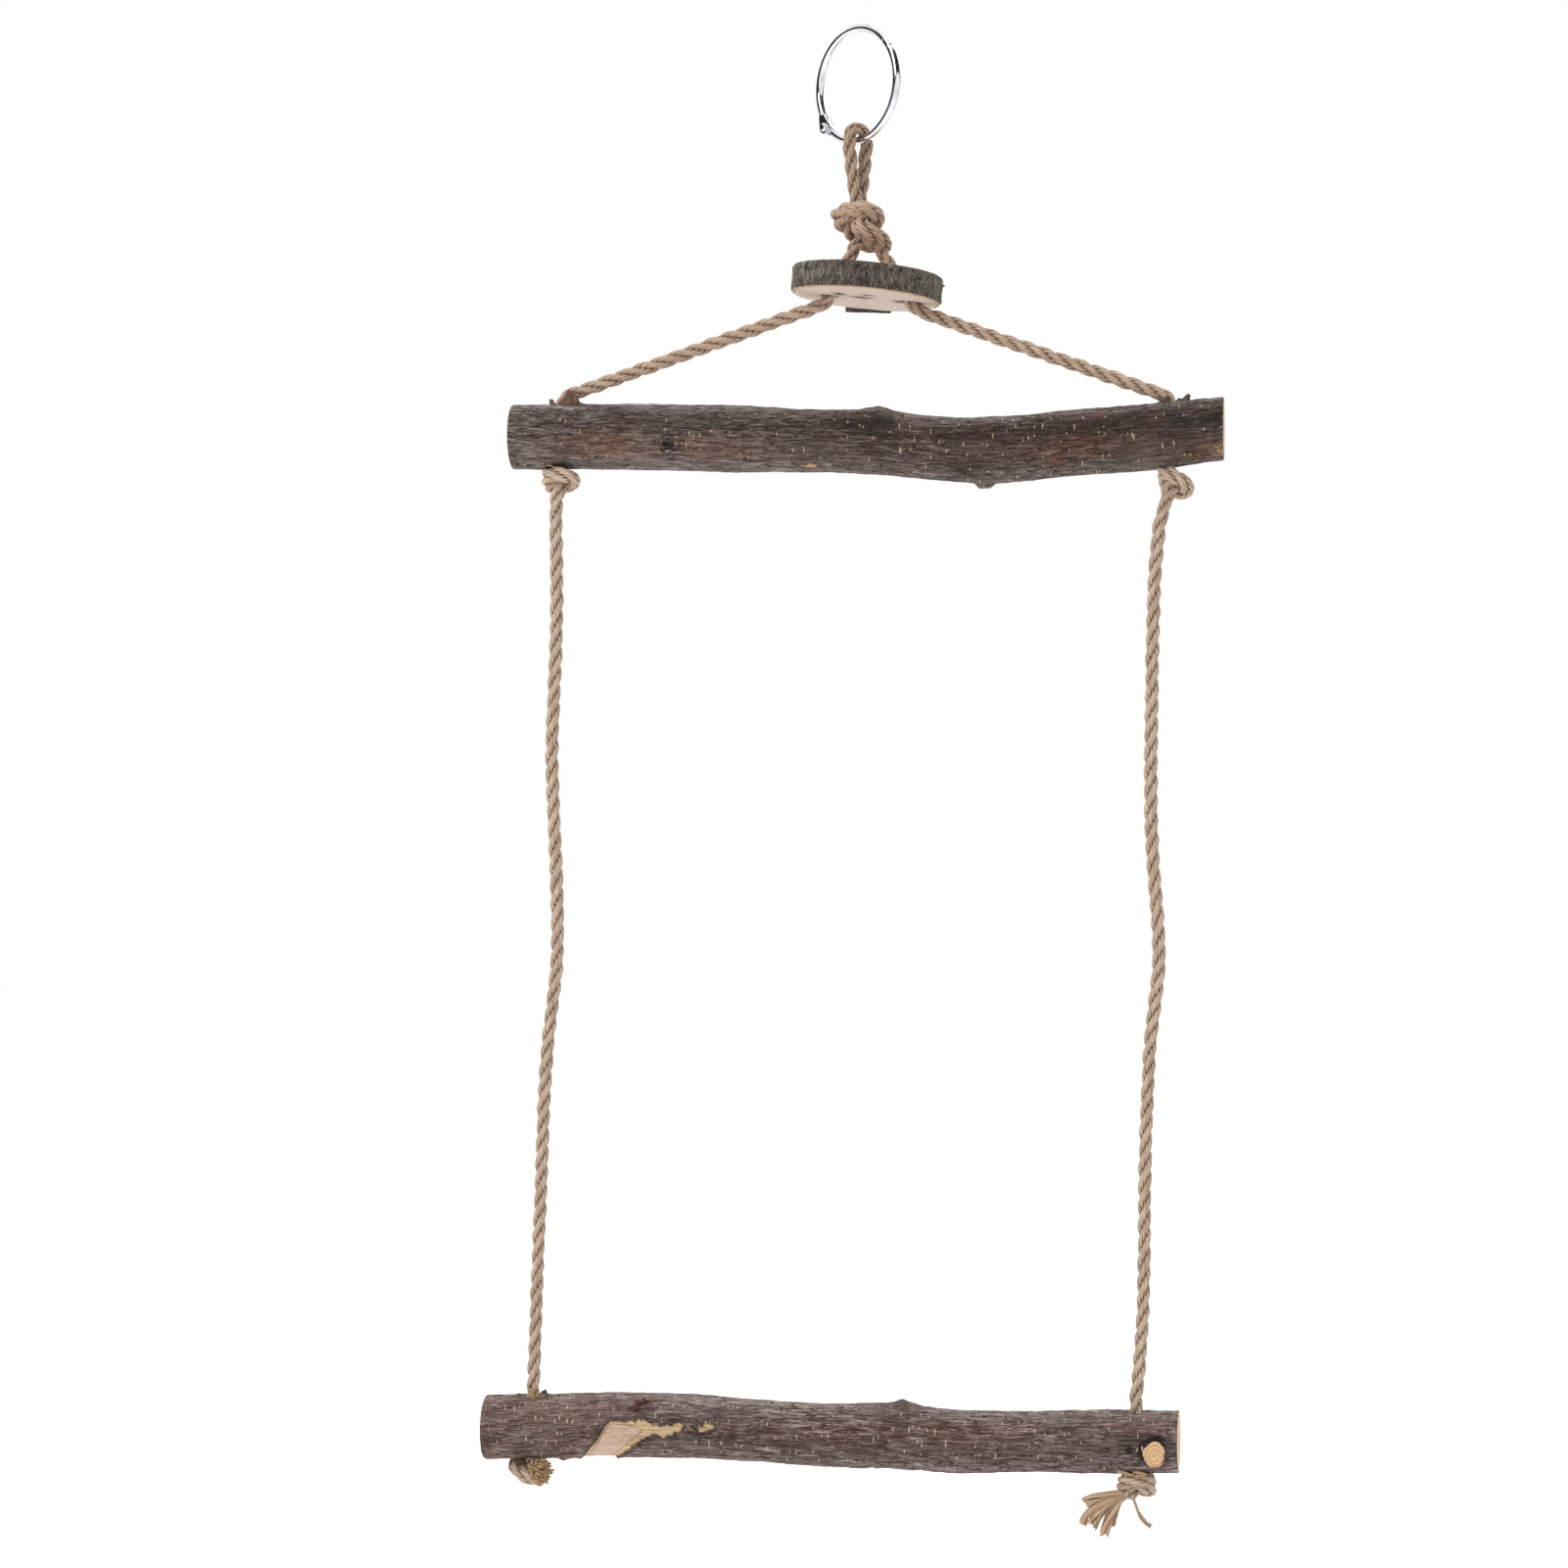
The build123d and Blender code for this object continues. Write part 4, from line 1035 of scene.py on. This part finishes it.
# Spots of the lower branch, in the same order as above
LOWER_RED = (
    (0.5, -8, 84, 34, 6), (0.55, 46, 66, 36, 5), (0.6, 112, 55, 12, 3), (0.6, -49.0, 84, 5, 3),
    (0.6, 20, 12, 6, 5),
)
LOWER_DARK = (
    (0.9, 106.6, 95, 1.4, 1.6), (0.35, 110, 74, 7, 5), (0.5, -48.9, 96, 3.0, 4.5),
    (0.9, -129.5, 176, 5, 5), (0.35, 18, 40, 12, 7), (0.9, 108.6, 170, 5.5, 4),
)

# The twig sawn off flat: its place along and round the branch
TWIG_AT = 116.2
TWIG_TURN = 103


def lower_marks(x, angle, r, u, v):
    """What shows on the lower branch: a long torn patch, a nick above it, a stub on top and a twig sawn off flat."""
    rough = 0.6 + 0.8 * cloud(u, v, (60, 40), 51)
    mean_r = float(r.mean())
    round_it = np.radians(angle) * mean_r
    patch, tongue, core, nick = (
        inside(x, round_it, outline(corners, mean_r)) for corners in (TORN_PATCH, TORN_TONGUE, TORN_CORE, NICK)
    )
    bud = spot(x, angle, r, 18.6, 0, 3.4, 4.0)
    lift = 1.9 * bud * rough + 0.8 * spot(x, angle, r, 17, 8, 10, 9)
    lift = lift + 1.0 * spot(x, angle, r, -117.2, 178, 2.2, 2.4) * rough
    jag = (cloud(u, v, (190, 80), 52) - 0.5) * 1.9
    patch = np.maximum(patch + jag * ease((x + 98) / 14), tongue + jag * 0.7)
    torn = ease(patch / 1.2 + 0.4)
    lip = bell((patch + 0.7) / 0.7)
    nick = ease((nick + jag * 0.5) / 0.6 + 0.5)
    groove = np.sin(2 * pi * ((x + 84) * 0.55 + (round_it - 8) * 0.83) / 1.5)
    lift = lift - 0.8 * torn + 0.35 * lip * rough - nick * (0.8 + 0.4 * groove)
    off = aside(angle, TWIG_TURN, r)
    turn = np.arctan2(off, x - TWIG_AT)
    twig = np.hypot((x - TWIG_AT) / 4.15, off / 4.6) * (1 + 0.06 * np.sin(3 * turn + 0.9) + 0.04 * np.sin(5 * turn))
    flat_top = (r + 1.5) / np.cos(np.clip(off / r, -1, 1)) - r
    on_twig = 1 - ease((twig - 0.92) / 0.2)
    lift = lift * (1 - on_twig) + flat_top * on_twig + 0.9 * bell((twig - 1.28) / 0.35) * rough
    red = 0.34 * ease((-70 - x) / 30) + spots(x, angle, r, LOWER_RED)
    uneven_shade = 0.55 + 0.9 * cloud(u, v, (16, 7), 56)
    dark = 0.9 * bell((twig - 1.12) / 0.12) * (0.6 + 0.4 * np.cos(turn + 2.2)) + 0.4 * lip * rough
    dark = dark + 0.7 * bell((twig - 1.38) / 0.2) * ease(0.5 + np.cos(turn + 2.1)) * rough
    dark = dark + spots(x, angle, r, LOWER_DARK) + 0.5 * bud * rough + nick * 0.8 * (groove < -0.2)
    # Painted shade: a darker, uneven band across the front
    dark = dark + 0.28 * bell((fold(angle) - 98) / 28) * uneven_shade
    # Painted light: the top and the underside lighter, as light falls on them
    pale = 0.55 * ease((54 - fold(angle)) / 40) + 0.25 * ease((fold(angle) - 130) / 30)
    return lift, {
        "rough": (1 - 0.75 * torn) * (1 - 0.8 * on_twig),
        "torn": torn,
        "core": core,
        "end": on_twig * (twig < 1.0),
        "ring": twig * 4.8,
        "red": (np.clip(red, 0, 1) + 1.2 * nick) * (twig > 1.1),
        "dark": np.clip(dark, 0, 1) * (twig > 0.98),
        "pale": pale * (0.5 + cloud(u, v, (24, 10), 57)) * (twig > 1.1),
        "ticks": 0.95 + 0 * x,
    }


# Each perch: its body, shape, marks, seed and bark, its holes, and how high and low they are drilled
PERCHES = (
    ("upper", UPPER, upper_marks, 3, upper_bark, MOUTH, -110.0, -165.0),
    ("lower", LOWER, lower_marks, 13, lower_bark, lower_end, -500.0, -555.0),
)
for body, branch, marks, seed, bark, holes, high, low in PERCHES:
    perch = branch_piece(f"{body}_branch", branch, marks, seed, bark)
    drill(perch, [((at[0], 0, high), (at[0], 0, low)) for at in holes.values()], HOLE_R)
    settle(perch, "branch_bark", f"{body}_perch", body=body)

# Bark flakes and splinters where the rope goes through

FLAKE_ROWS = 9
FLAKE_COLUMNS = 12
FLAKE_SEED = 91


def flake_shell(root, way, face, length, width, seed):
    """A sliver: an oval section carried along a way that curls towards its face, narrowing to a ragged tip."""
    way, face = unit(np.array(way, float)), unit(np.array(face, float))
    across = unit(np.cross(way, face))
    s = np.linspace(0, 1, FLAKE_ROWS)[:, None]
    turn = 2 * pi * np.arange(FLAKE_COLUMNS) / FLAKE_COLUMNS + 0 * s
    ragged = cloud(s, turn / (2 * pi), (5, 7), seed) - 0.5
    half = width / 2 * (1 - 0.5 * s**2) * (1 + 0.5 * ragged)
    deep = np.minimum(0.45, width / 5) * (1 - 0.55 * s)
    run = length * (s + 0.35 * s**3 * ragged)
    lift = min(0.22 * length, 1.2) * s**2
    points = np.array(root) + run[..., None] * way + (lift + deep * np.sin(turn))[..., None] * face
    points = points + (half * np.cos(turn))[..., None] * across
    uv = map_of(length * s, np.arange(FLAKE_COLUMNS + 1) * width / 6 + 20 * seed)
    return tubes(points[None], uv[None])


# Each piece of flakes: its looks, its body, and the root, way, face, length and width of each flake
FLAKES = {
    "left_hole_bark": (
        rust_flake, "upper",
        ((-115.0, -3.2, -124.6), (0.2, -0.1, 1), (0.2, -1, 0), 5.6, 5.2),
        ((-112.8, -3.0, -124.6), (0.35, -0.1, 0.9), (0, -1, 0.3), 3.4, 3.8),
        ((-108.6, -2.6, -124.6), (-0.9, -0.1, 0.3), (0, -0.6, 0.8), 5.0, 2.6),
        ((-121.2, -2.4, -124.4), (-0.2, -0.1, 1), (0, -1, 0.3), 2.4, 2.4),
        ((-114.4, 2.4, -124.4), (0.5, 0.3, 0.9), (0, 1, 0), 3.6, 3.4),
    ),
    "right_hole_bark": (
        dark_flake, "upper",
        ((120.2, -3.1, -127.2), (0.1, -0.2, 1), (0, -1, 0.2), 2.4, 5.0),
        ((116.8, -2.4, -127.0), (0.8, -0.1, 0.4), (0, -0.6, 0.8), 4.0, 2.2),
        ((127.4, -1.6, -126.2), (0.6, -0.1, 0.8), (0.3, -0.8, 0.5), 2.9, 2.8),
        ((124.6, 2.4, -126.8), (0.4, 0.4, 0.8), (0, 1, 0.3), 2.8, 3.2),
    ),
    "left_hole_splinters": (
        straw_splinter, "upper",
        ((-124.6, -4.6, -147.4), (0.9, -0.1, -0.25), (0, -1, -0.2), 7.5, 0.7),
        ((-125.4, -4.4, -146.9), (0.9, -0.15, 0.12), (0, -1, -0.3), 5.0, 0.5),
    ),
    "lower_hole_splinters": (
        straw_splinter, "lower",
        ((-129.8, -3.0, -517.0), (0.05, -0.15, 1), (0, -1, 0.2), 3.8, 3.8),
        ((-127.8, -2.8, -517.0), (0.5, -0.2, 0.8), (0, -1, 0.2), 2.6, 2.2),
        ((101.6, -6.3, -539.6), (0.95, -0.05, -0.12), (0, -0.9, -0.4), 6.4, 1.5),
        ((104.4, -5.6, -540.4), (0.95, -0.1, -0.2), (0, -0.9, -0.4), 5.6, 1.9),
        ((107.4, -6.2, -539.9), (0.95, -0.05, 0.06), (0, -0.9, -0.4), 5.2, 1.6),
        ((108.6, -5.6, -540.2), (0.9, -0.1, -0.1), (0, -0.9, -0.4), 4.0, 2.2),
    ),
    "lower_hole_bark": (
        dark_flake, "lower",
        ((-125.0, -1.8, -516.9), (0.6, -0.1, 0.5), (0, -0.6, 0.8), 2.4, 2.6),
        ((-133.4, -1.6, -516.9), (-0.7, -0.1, 0.4), (0, -0.6, 0.8), 2.2, 2.4),
        ((-126.4, 2.4, -516.6), (0.4, 0.4, 0.7), (0, 1, 0.3), 2.4, 2.4),
        ((104.6, 3.2, -540.6), (-0.4, 0.3, -0.8), (0, 0.9, -0.4), 3.0, 2.4),
    ),
    "slice_rear_bark": (
        dark_flake, "hanger",
        ((-8.2, 27.3, -84.4), (1, 0.1, -0.07), (0, 1, 0), 12.0, 2.5),
        ((-2.6, 28.5, -84.8), (1, -0.06, -0.08), (0, 1, 0), 10.8, 2.1),
    ),
}
for name, (looks, body, *flakes) in FLAKES.items():
    shells = [flake_shell(*flake, seed=FLAKE_SEED + k) for k, flake in enumerate(flakes)]
    settle(piece(name, shells, [looks]), "branch_bark", body=body)

# Slice of branch

DISC_AT = np.array([3.6, 0, -78.8])
DISC_X = np.array([0.9957, -0.0032, -0.0924])
DISC_Z = np.array([0.0924, 0.0348, 0.9951])
DISC_Y = np.cross(DISC_Z, DISC_X)
DISC_R = 29.5
DISC_T = 10.4
DISC_EDGE = 1.2
DISC_COLUMNS = 340
DISC_HOLE_R = 3.2
DISC_HOLE_OVER = (-6.0, -12.0)
SLITS = ((-9.5, -8.0, 2.8, 3.0), (-1.5, -3.0, 4.6, 2.3), (13.0, 1.0, 2.2, 3.4), (2.0, -10.0, 2.4, 1.6))
RIM_SHARES = (1.0, 0.985, 1.01, 0.99, 1.005, 0.98, 1.0, 1.012, 0.99, 1.008, 0.985, 1.004)


def slice_piece(name, material):
    """A slice of branch: rings from the middle of its lower face out over the edge, up the bark and in over the upper
    face. The bark is pushed in by upright cracks and out by knobs, and the faces carry the saw's faint waves."""
    faces = np.linspace(0.02, 0.93, 54)
    wall = np.linspace(-DISC_T / 2 + DISC_EDGE, DISC_T / 2 - DISC_EDGE, 22)
    edge = np.radians(np.linspace(15, 75, 4))
    low = DISC_T / 2 - DISC_EDGE
    rim_r, rim_z = 1 - DISC_EDGE / DISC_R * (1 - np.sin(edge)), low + DISC_EDGE * np.cos(edge)
    share = np.concatenate([faces, rim_r, 1 + 0 * wall, rim_r[::-1], faces[::-1]])[:, None]
    height = np.concatenate([0 * faces - DISC_T / 2, -rim_z, wall, rim_z[::-1], 0 * faces + DISC_T / 2])[:, None]
    v = (np.arange(DISC_COLUMNS) / DISC_COLUMNS)[None] + 0 * share
    u = height / DISC_T + 0.5 + 0 * v
    rims = np.array(RIM_SHARES + RIM_SHARES[:1])
    rim = DISC_R * np.interp(v, np.linspace(0, 1, len(rims)), rims)
    crack = 1 - np.abs(2 * cloud(u, v, (2, 110), 61) - 1)
    bark = (cloud(u, v, (3, 22), 62) - 0.5) * 0.8 + (cloud(u, v, (8, 170), 63) - 0.5) * 0.6 - 0.8 * crack**10
    bark = bark + 0.9 * np.maximum(cloud(u, v, (7, 60), 64) - 0.74, 0) / 0.26
    on_wall = ease((share - 0.955) / 0.04)
    out = (rim + bark * on_wall) * share
    saw = (cloud(share * v, v, (14, 50), 65) - 0.5) * 0.18 * (share < 0.97)
    turn = 2 * pi * v
    flat = out[..., None] * around(turn, DISC_X, DISC_Y)
    points = DISC_AT + flat + (height + saw * np.sign(height))[..., None] * DISC_Z
    end = (share < 0.958) + 0 * v
    # Painted light: the wall lighter at its left and right sides, where it turns away from the camera
    lit_sides = 0.9 * bell((v - 0.5) / 0.06) + 0.35 * bell(np.minimum(v, 1 - v) / 0.1)
    slits = sum(
        np.exp(-(((out * np.cos(turn) - x) / long) ** 2) - ((out * np.sin(turn) - y) / wide) ** 2)
        for x, y, long, wide in SLITS
    )
    values = {
        "end": end,
        "ring": out * (1 + 0.04 * np.sin(2 * turn)),
        "torn": ((share > 0.95) & (share < 0.99) & (height < 0)) * 0.9 + 0 * v,
        "core": -9 + 0 * v,
        "red": np.where(end > 0.5, slits, 0.3 * cloud(u, v, (2, 9), 66)),
        # With the cracks, painted shade: the wall darker across its front, where it faces the camera
        "dark": (0.7 * crack**10 + 0.32 * bell((v - 0.755) / 0.07)) * (end < 0.5),
        "pale": (lit_sides + 0.3 * (cloud(u, v, (4, 26), 67) > 0.66)) * (end < 0.5),
        "ticks": 0.5 + 0 * v,
    }
    seam = np.arange(DISC_COLUMNS + 1) / DISC_COLUMNS * 2 * pi * DISC_R
    uv = map_of(height * 2.2 + share * 20, seam[None] * 1.9)
    return grid_piece(name, points, uv, values, material)


disc = slice_piece("branch_slice", slice_bark)
over, under = DISC_HOLE_OVER
shafts = [(toward(LEG_TOP[s], LEG_EXIT[s], over), toward(LEG_EXIT[s], LEG_TOP[s], under)) for s in LEG_TOP]
drill(disc, shafts, DISC_HOLE_R)
settle(disc, "branch_slice", "wood_disc", body="hanger")

# Ring


def plated_copy(name, node):
    """A copy of a node's mesh with its loose triangles joined, shaded smooth up to its sharp edges."""
    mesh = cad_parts[node].data.copy()
    joined = bmesh.new()
    joined.from_mesh(mesh)
    bmesh.ops.remove_doubles(joined, verts=joined.verts, dist=1e-6)
    joined.to_mesh(mesh)
    joined.free()
    mesh.polygons.foreach_set("use_smooth", np.ones(len(mesh.polygons), bool))
    mesh.set_sharp_from_angle(angle=radians(36))
    mesh.materials.clear()
    mesh.materials.append(wire)
    return placed(name, mesh)


for node, body in (("ring_lower_half", "ring"), ("ring_rivet", "ring"), ("ring_upper_half", "gate")):
    settle(plated_copy(f"{node}_plated", node), "ring_wire", node, body=body)

# Frayed end: the tip and thickness of each of its bundles, and the shares of the way at which they bend

TAIL = (
    ((88.6, -1.5, -553.4), 1.7), ((90.4, 1.2, -556.0), 1.6), ((92.4, -3.0, -559.6), 1.65),
    ((87.8, -1.0, -562.0), 1.5), ((92.2, 1.5, -563.6), 1.55), ((96.0, -1.5, -566.4), 1.6), ((99.0, 1.0, -563.2), 1.4),
)
TAIL_BEND = (0.78, 0.5, 0.22)
TAIL_YARNS = 13
STRAY_TIP = (115.0, -1.0, -561.8)
STRAY_BEND = (0.35, 0.5, 0.85)
BRUSH_WAY = (0.66, -0.62, 0.2)
BRUSH_BEND = (0.5, 0.5, 0.5)
BRUSH_TIPS = 36
BRUSH_R = 6.8
BRUSH_LEAN = 64
BUNDLE_ROWS = 26
BUNDLE_COLUMNS = 6
BUNDLE_HAIRS = 14.0
BUNDLE_SEED = 71
BUNDLE_HAIR_SEED = 171


def bundle(root, tip, thick, shares, yarns, seed):
    """Fine yarns side by side from a root to a tip, on a curve that bends at these shares of the way: each turns
    slowly round the bundle's middle line, wanders a little, and closes at its own end."""
    draw = np.random.default_rng(seed)
    root, tip = np.array(root, float), np.array(tip, float)
    t = np.linspace(0, 1, BUNDLE_ROWS)[:, None]
    bend = root + (tip - root) * np.array(shares)
    middle = (1 - t) ** 2 * root + 2 * t * (1 - t) * bend + t**2 * tip
    flow = unit(np.gradient(middle, axis=0))
    side = unit(np.cross(flow, (0.0, 1.0, 0.0)))
    up = np.cross(flow, side)
    own = t[None] * draw.uniform(0.93, 1.0, yarns)[:, None, None]
    at = np.stack([np.interp(own[..., 0], t[:, 0], middle[:, k]) for k in range(3)], axis=-1)
    spin = draw.uniform(0, 2 * pi, yarns)[:, None] + 2.0 * own[..., 0]
    out = thick * np.sqrt(draw.random(yarns))[:, None] * (0.5 + 0.6 * ease(own[..., 0]))
    shake = 0.3 * own * np.sin(own * draw.uniform(4, 10, (yarns, 1, 3)) + draw.uniform(0, 6, (yarns, 1, 3)))
    line = at + out[..., None] * around(spin, side, up) + shake
    ring = around(2 * pi * np.arange(BUNDLE_COLUMNS) / BUNDLE_COLUMNS, side[:, None], up[:, None])
    closing = np.sqrt(1 - np.clip((t[:, 0] - 0.88) / 0.12, 0, 0.98) ** 2)
    radius = 0.36 * thick * draw.uniform(0.75, 1.25, yarns)[:, None] * closing
    points = line[:, :, None] + radius[..., None, None] * ring
    v = np.arange(BUNDLE_COLUMNS + 1) * 0.4 + 9 * np.arange(yarns)[:, None, None]
    uv = map_of(along(middle)[None, :, None], v)
    tone = np.broadcast_to(0.75 * draw.random(yarns)[:, None, None] ** 2, points.shape[:3])
    shell = tubes(points, uv, {"groove": tone, "worn": 0.6 * tone})
    return shell, {"at": middle, "flow": flow, "side": side, "up": up, "far": along(middle)}


def fringe(name, bundles, material, *nodes):
    """Bundles of yarns with loose fibres all over them."""
    shells = []
    for k, (root, tip, thick, shares, yarns) in enumerate(bundles):
        shell, part = bundle(root, tip, thick, shares, yarns, BUNDLE_SEED + k)
        shells += [shell, hair_shell(part, BUNDLE_HAIR_SEED + k, BUNDLE_HAIRS, thick * 0.9)]
    return settle(piece(name, shells, [material, fibres]), "jute_rope", *nodes, body="lower")


def brush_tips(end):
    """Places on a cap about the cut end, each a golden angle round from the last and farther out."""
    way = unit(np.array(BRUSH_WAY))
    across = unit(np.cross(way, (0, 0, 1.0)))
    k = np.arange(BRUSH_TIPS)
    lean = np.radians(BRUSH_LEAN) * np.sqrt((k + 0.5) / BRUSH_TIPS)
    turn = k * pi * (3 - np.sqrt(5))
    aim = around(lean, way, around(turn, across, np.cross(way, across)))
    return end + (0, 0, 1.6) + aim * (BRUSH_R - 0.7 * np.cos(5 * turn))[:, None]


tail_top = np.array(LAST_END["right"]) + (0, 0, 2.0)
bundles = [(tail_top, tip, thick, TAIL_BEND, TAIL_YARNS) for tip, thick in TAIL]
bundles.append((tail_top + (1.4, 0, -1.6), STRAY_TIP, 0.8, STRAY_BEND, 8))
tail = fringe("frayed_end", bundles, frayed_jute, "frayed_tail")
cut_end = np.array(LAST_END["left"])
bundles = [(cut_end + (-1.5, 1.2, 0.6), tip, 0.85, BRUSH_BEND, 5) for tip in brush_tips(cut_end)]
brush = fringe("cut_end_brush", bundles, cut_jute)

for side, loose_end in (("left", brush), ("right", tail)):
    side_rope, *others = ends[side]
    declare(f"{side}_side_rope")

# Stage

FLOOR_DROP = 12.0
FLOOR_HALF = 4.0
FLOOR_TONE = (0.92, 0.92, 0.92, 1)
FLOOR_GLOW = 0.32
WHITE = (1, 1, 1, 1)
LAMP_SIZE = 1.2
LAMP_AIM = (0, 0, -0.3)

scene = bpy.context.scene
scene.view_settings.view_transform = "Standard"

camera_data = bpy.data.cameras.new("camera")
camera_data.sensor_width = SENSOR
camera_data.lens = SENSOR * FOCAL_PX / IMAGE_PX
camera = placed("camera", camera_data)
camera.location = metres(CAMERA_AT)
camera.rotation_euler = (radians(90), 0, radians(CAMERA_TURN))
scene.camera = camera


def camera_rays(paint):
    """1 for what the camera sees, straight or through something clear."""
    rays = [paint.node("ShaderNodeLightPath", out=f"Is {kind} Ray") for kind in ("Camera", "Transmission")]
    return rays[0].maths("MAXIMUM", *rays)


floor_z = cad_box[0].z - FLOOR_DROP * MM
floor_mesh = bpy.data.meshes.new("floor")
corners = [(FLOOR_HALF * x, FLOOR_HALF * y, floor_z) for x, y in ((-1, -1), (1, -1), (1, 1), (-1, 1))]
floor_mesh.from_pydata(corners, [], [(0, 1, 2, 3)])
floor = placed("floor", floor_mesh)
floor_paint = new_paint("studio_floor")
glow = camera_rays(floor_paint) * FLOOR_GLOW
floor_paint.surface(Base_Color=FLOOR_TONE, Roughness=0.9, Emission_Color=glow, Emission_Strength=1.0)
floor_mesh.materials.append(floor_paint.owner)

# The room's light: bright behind and above. Mirroring parts see a dark band in it, and the camera sees white
world = bpy.data.worlds.new("studio")
scene.world = world
studio = Paint(world)


def background(strength):
    return studio.node("ShaderNodeBackground", None, {"Color": WHITE, "Strength": strength})


look = studio.node("ShaderNodeTexCoord")
right, behind, above = (studio.node("ShaderNodeSeparateXYZ", None, [look], out=k) for k in range(3))
room = behind.band(-0.7, 0.5) * 0.45 + above.band(-0.1, 0.9) * 0.45 + 0.38
band = (right * -0.199 + behind * 0.167 + above * 0.966 - 0.355).size()
mirrored = band.band(0.28, 0.36) * 1.1 + 0.03
glossy = studio.node("ShaderNodeLightPath", out="Is Glossy Ray")
lit = studio.node("ShaderNodeMixShader", None, [glossy, background(room), background(mirrored)])
shown = studio.node("ShaderNodeMixShader", None, [camera_rays(studio), lit, background(1.0)])
studio.node("ShaderNodeOutputWorld", None, {"Surface": shown})

for name, at, power in (("key", (-0.9, -1.3, 0.9), 22), ("back", (0.5, 1.2, 0.8), 12)):
    softbox = bpy.data.lights.new(name, "AREA")
    softbox.size, softbox.energy = LAMP_SIZE, power
    lamp = placed(name, softbox)
    lamp.location = at
    lamp.rotation_euler = (Vector(LAMP_AIM) - Vector(at)).to_track_quat("-Z", "Y").to_euler()
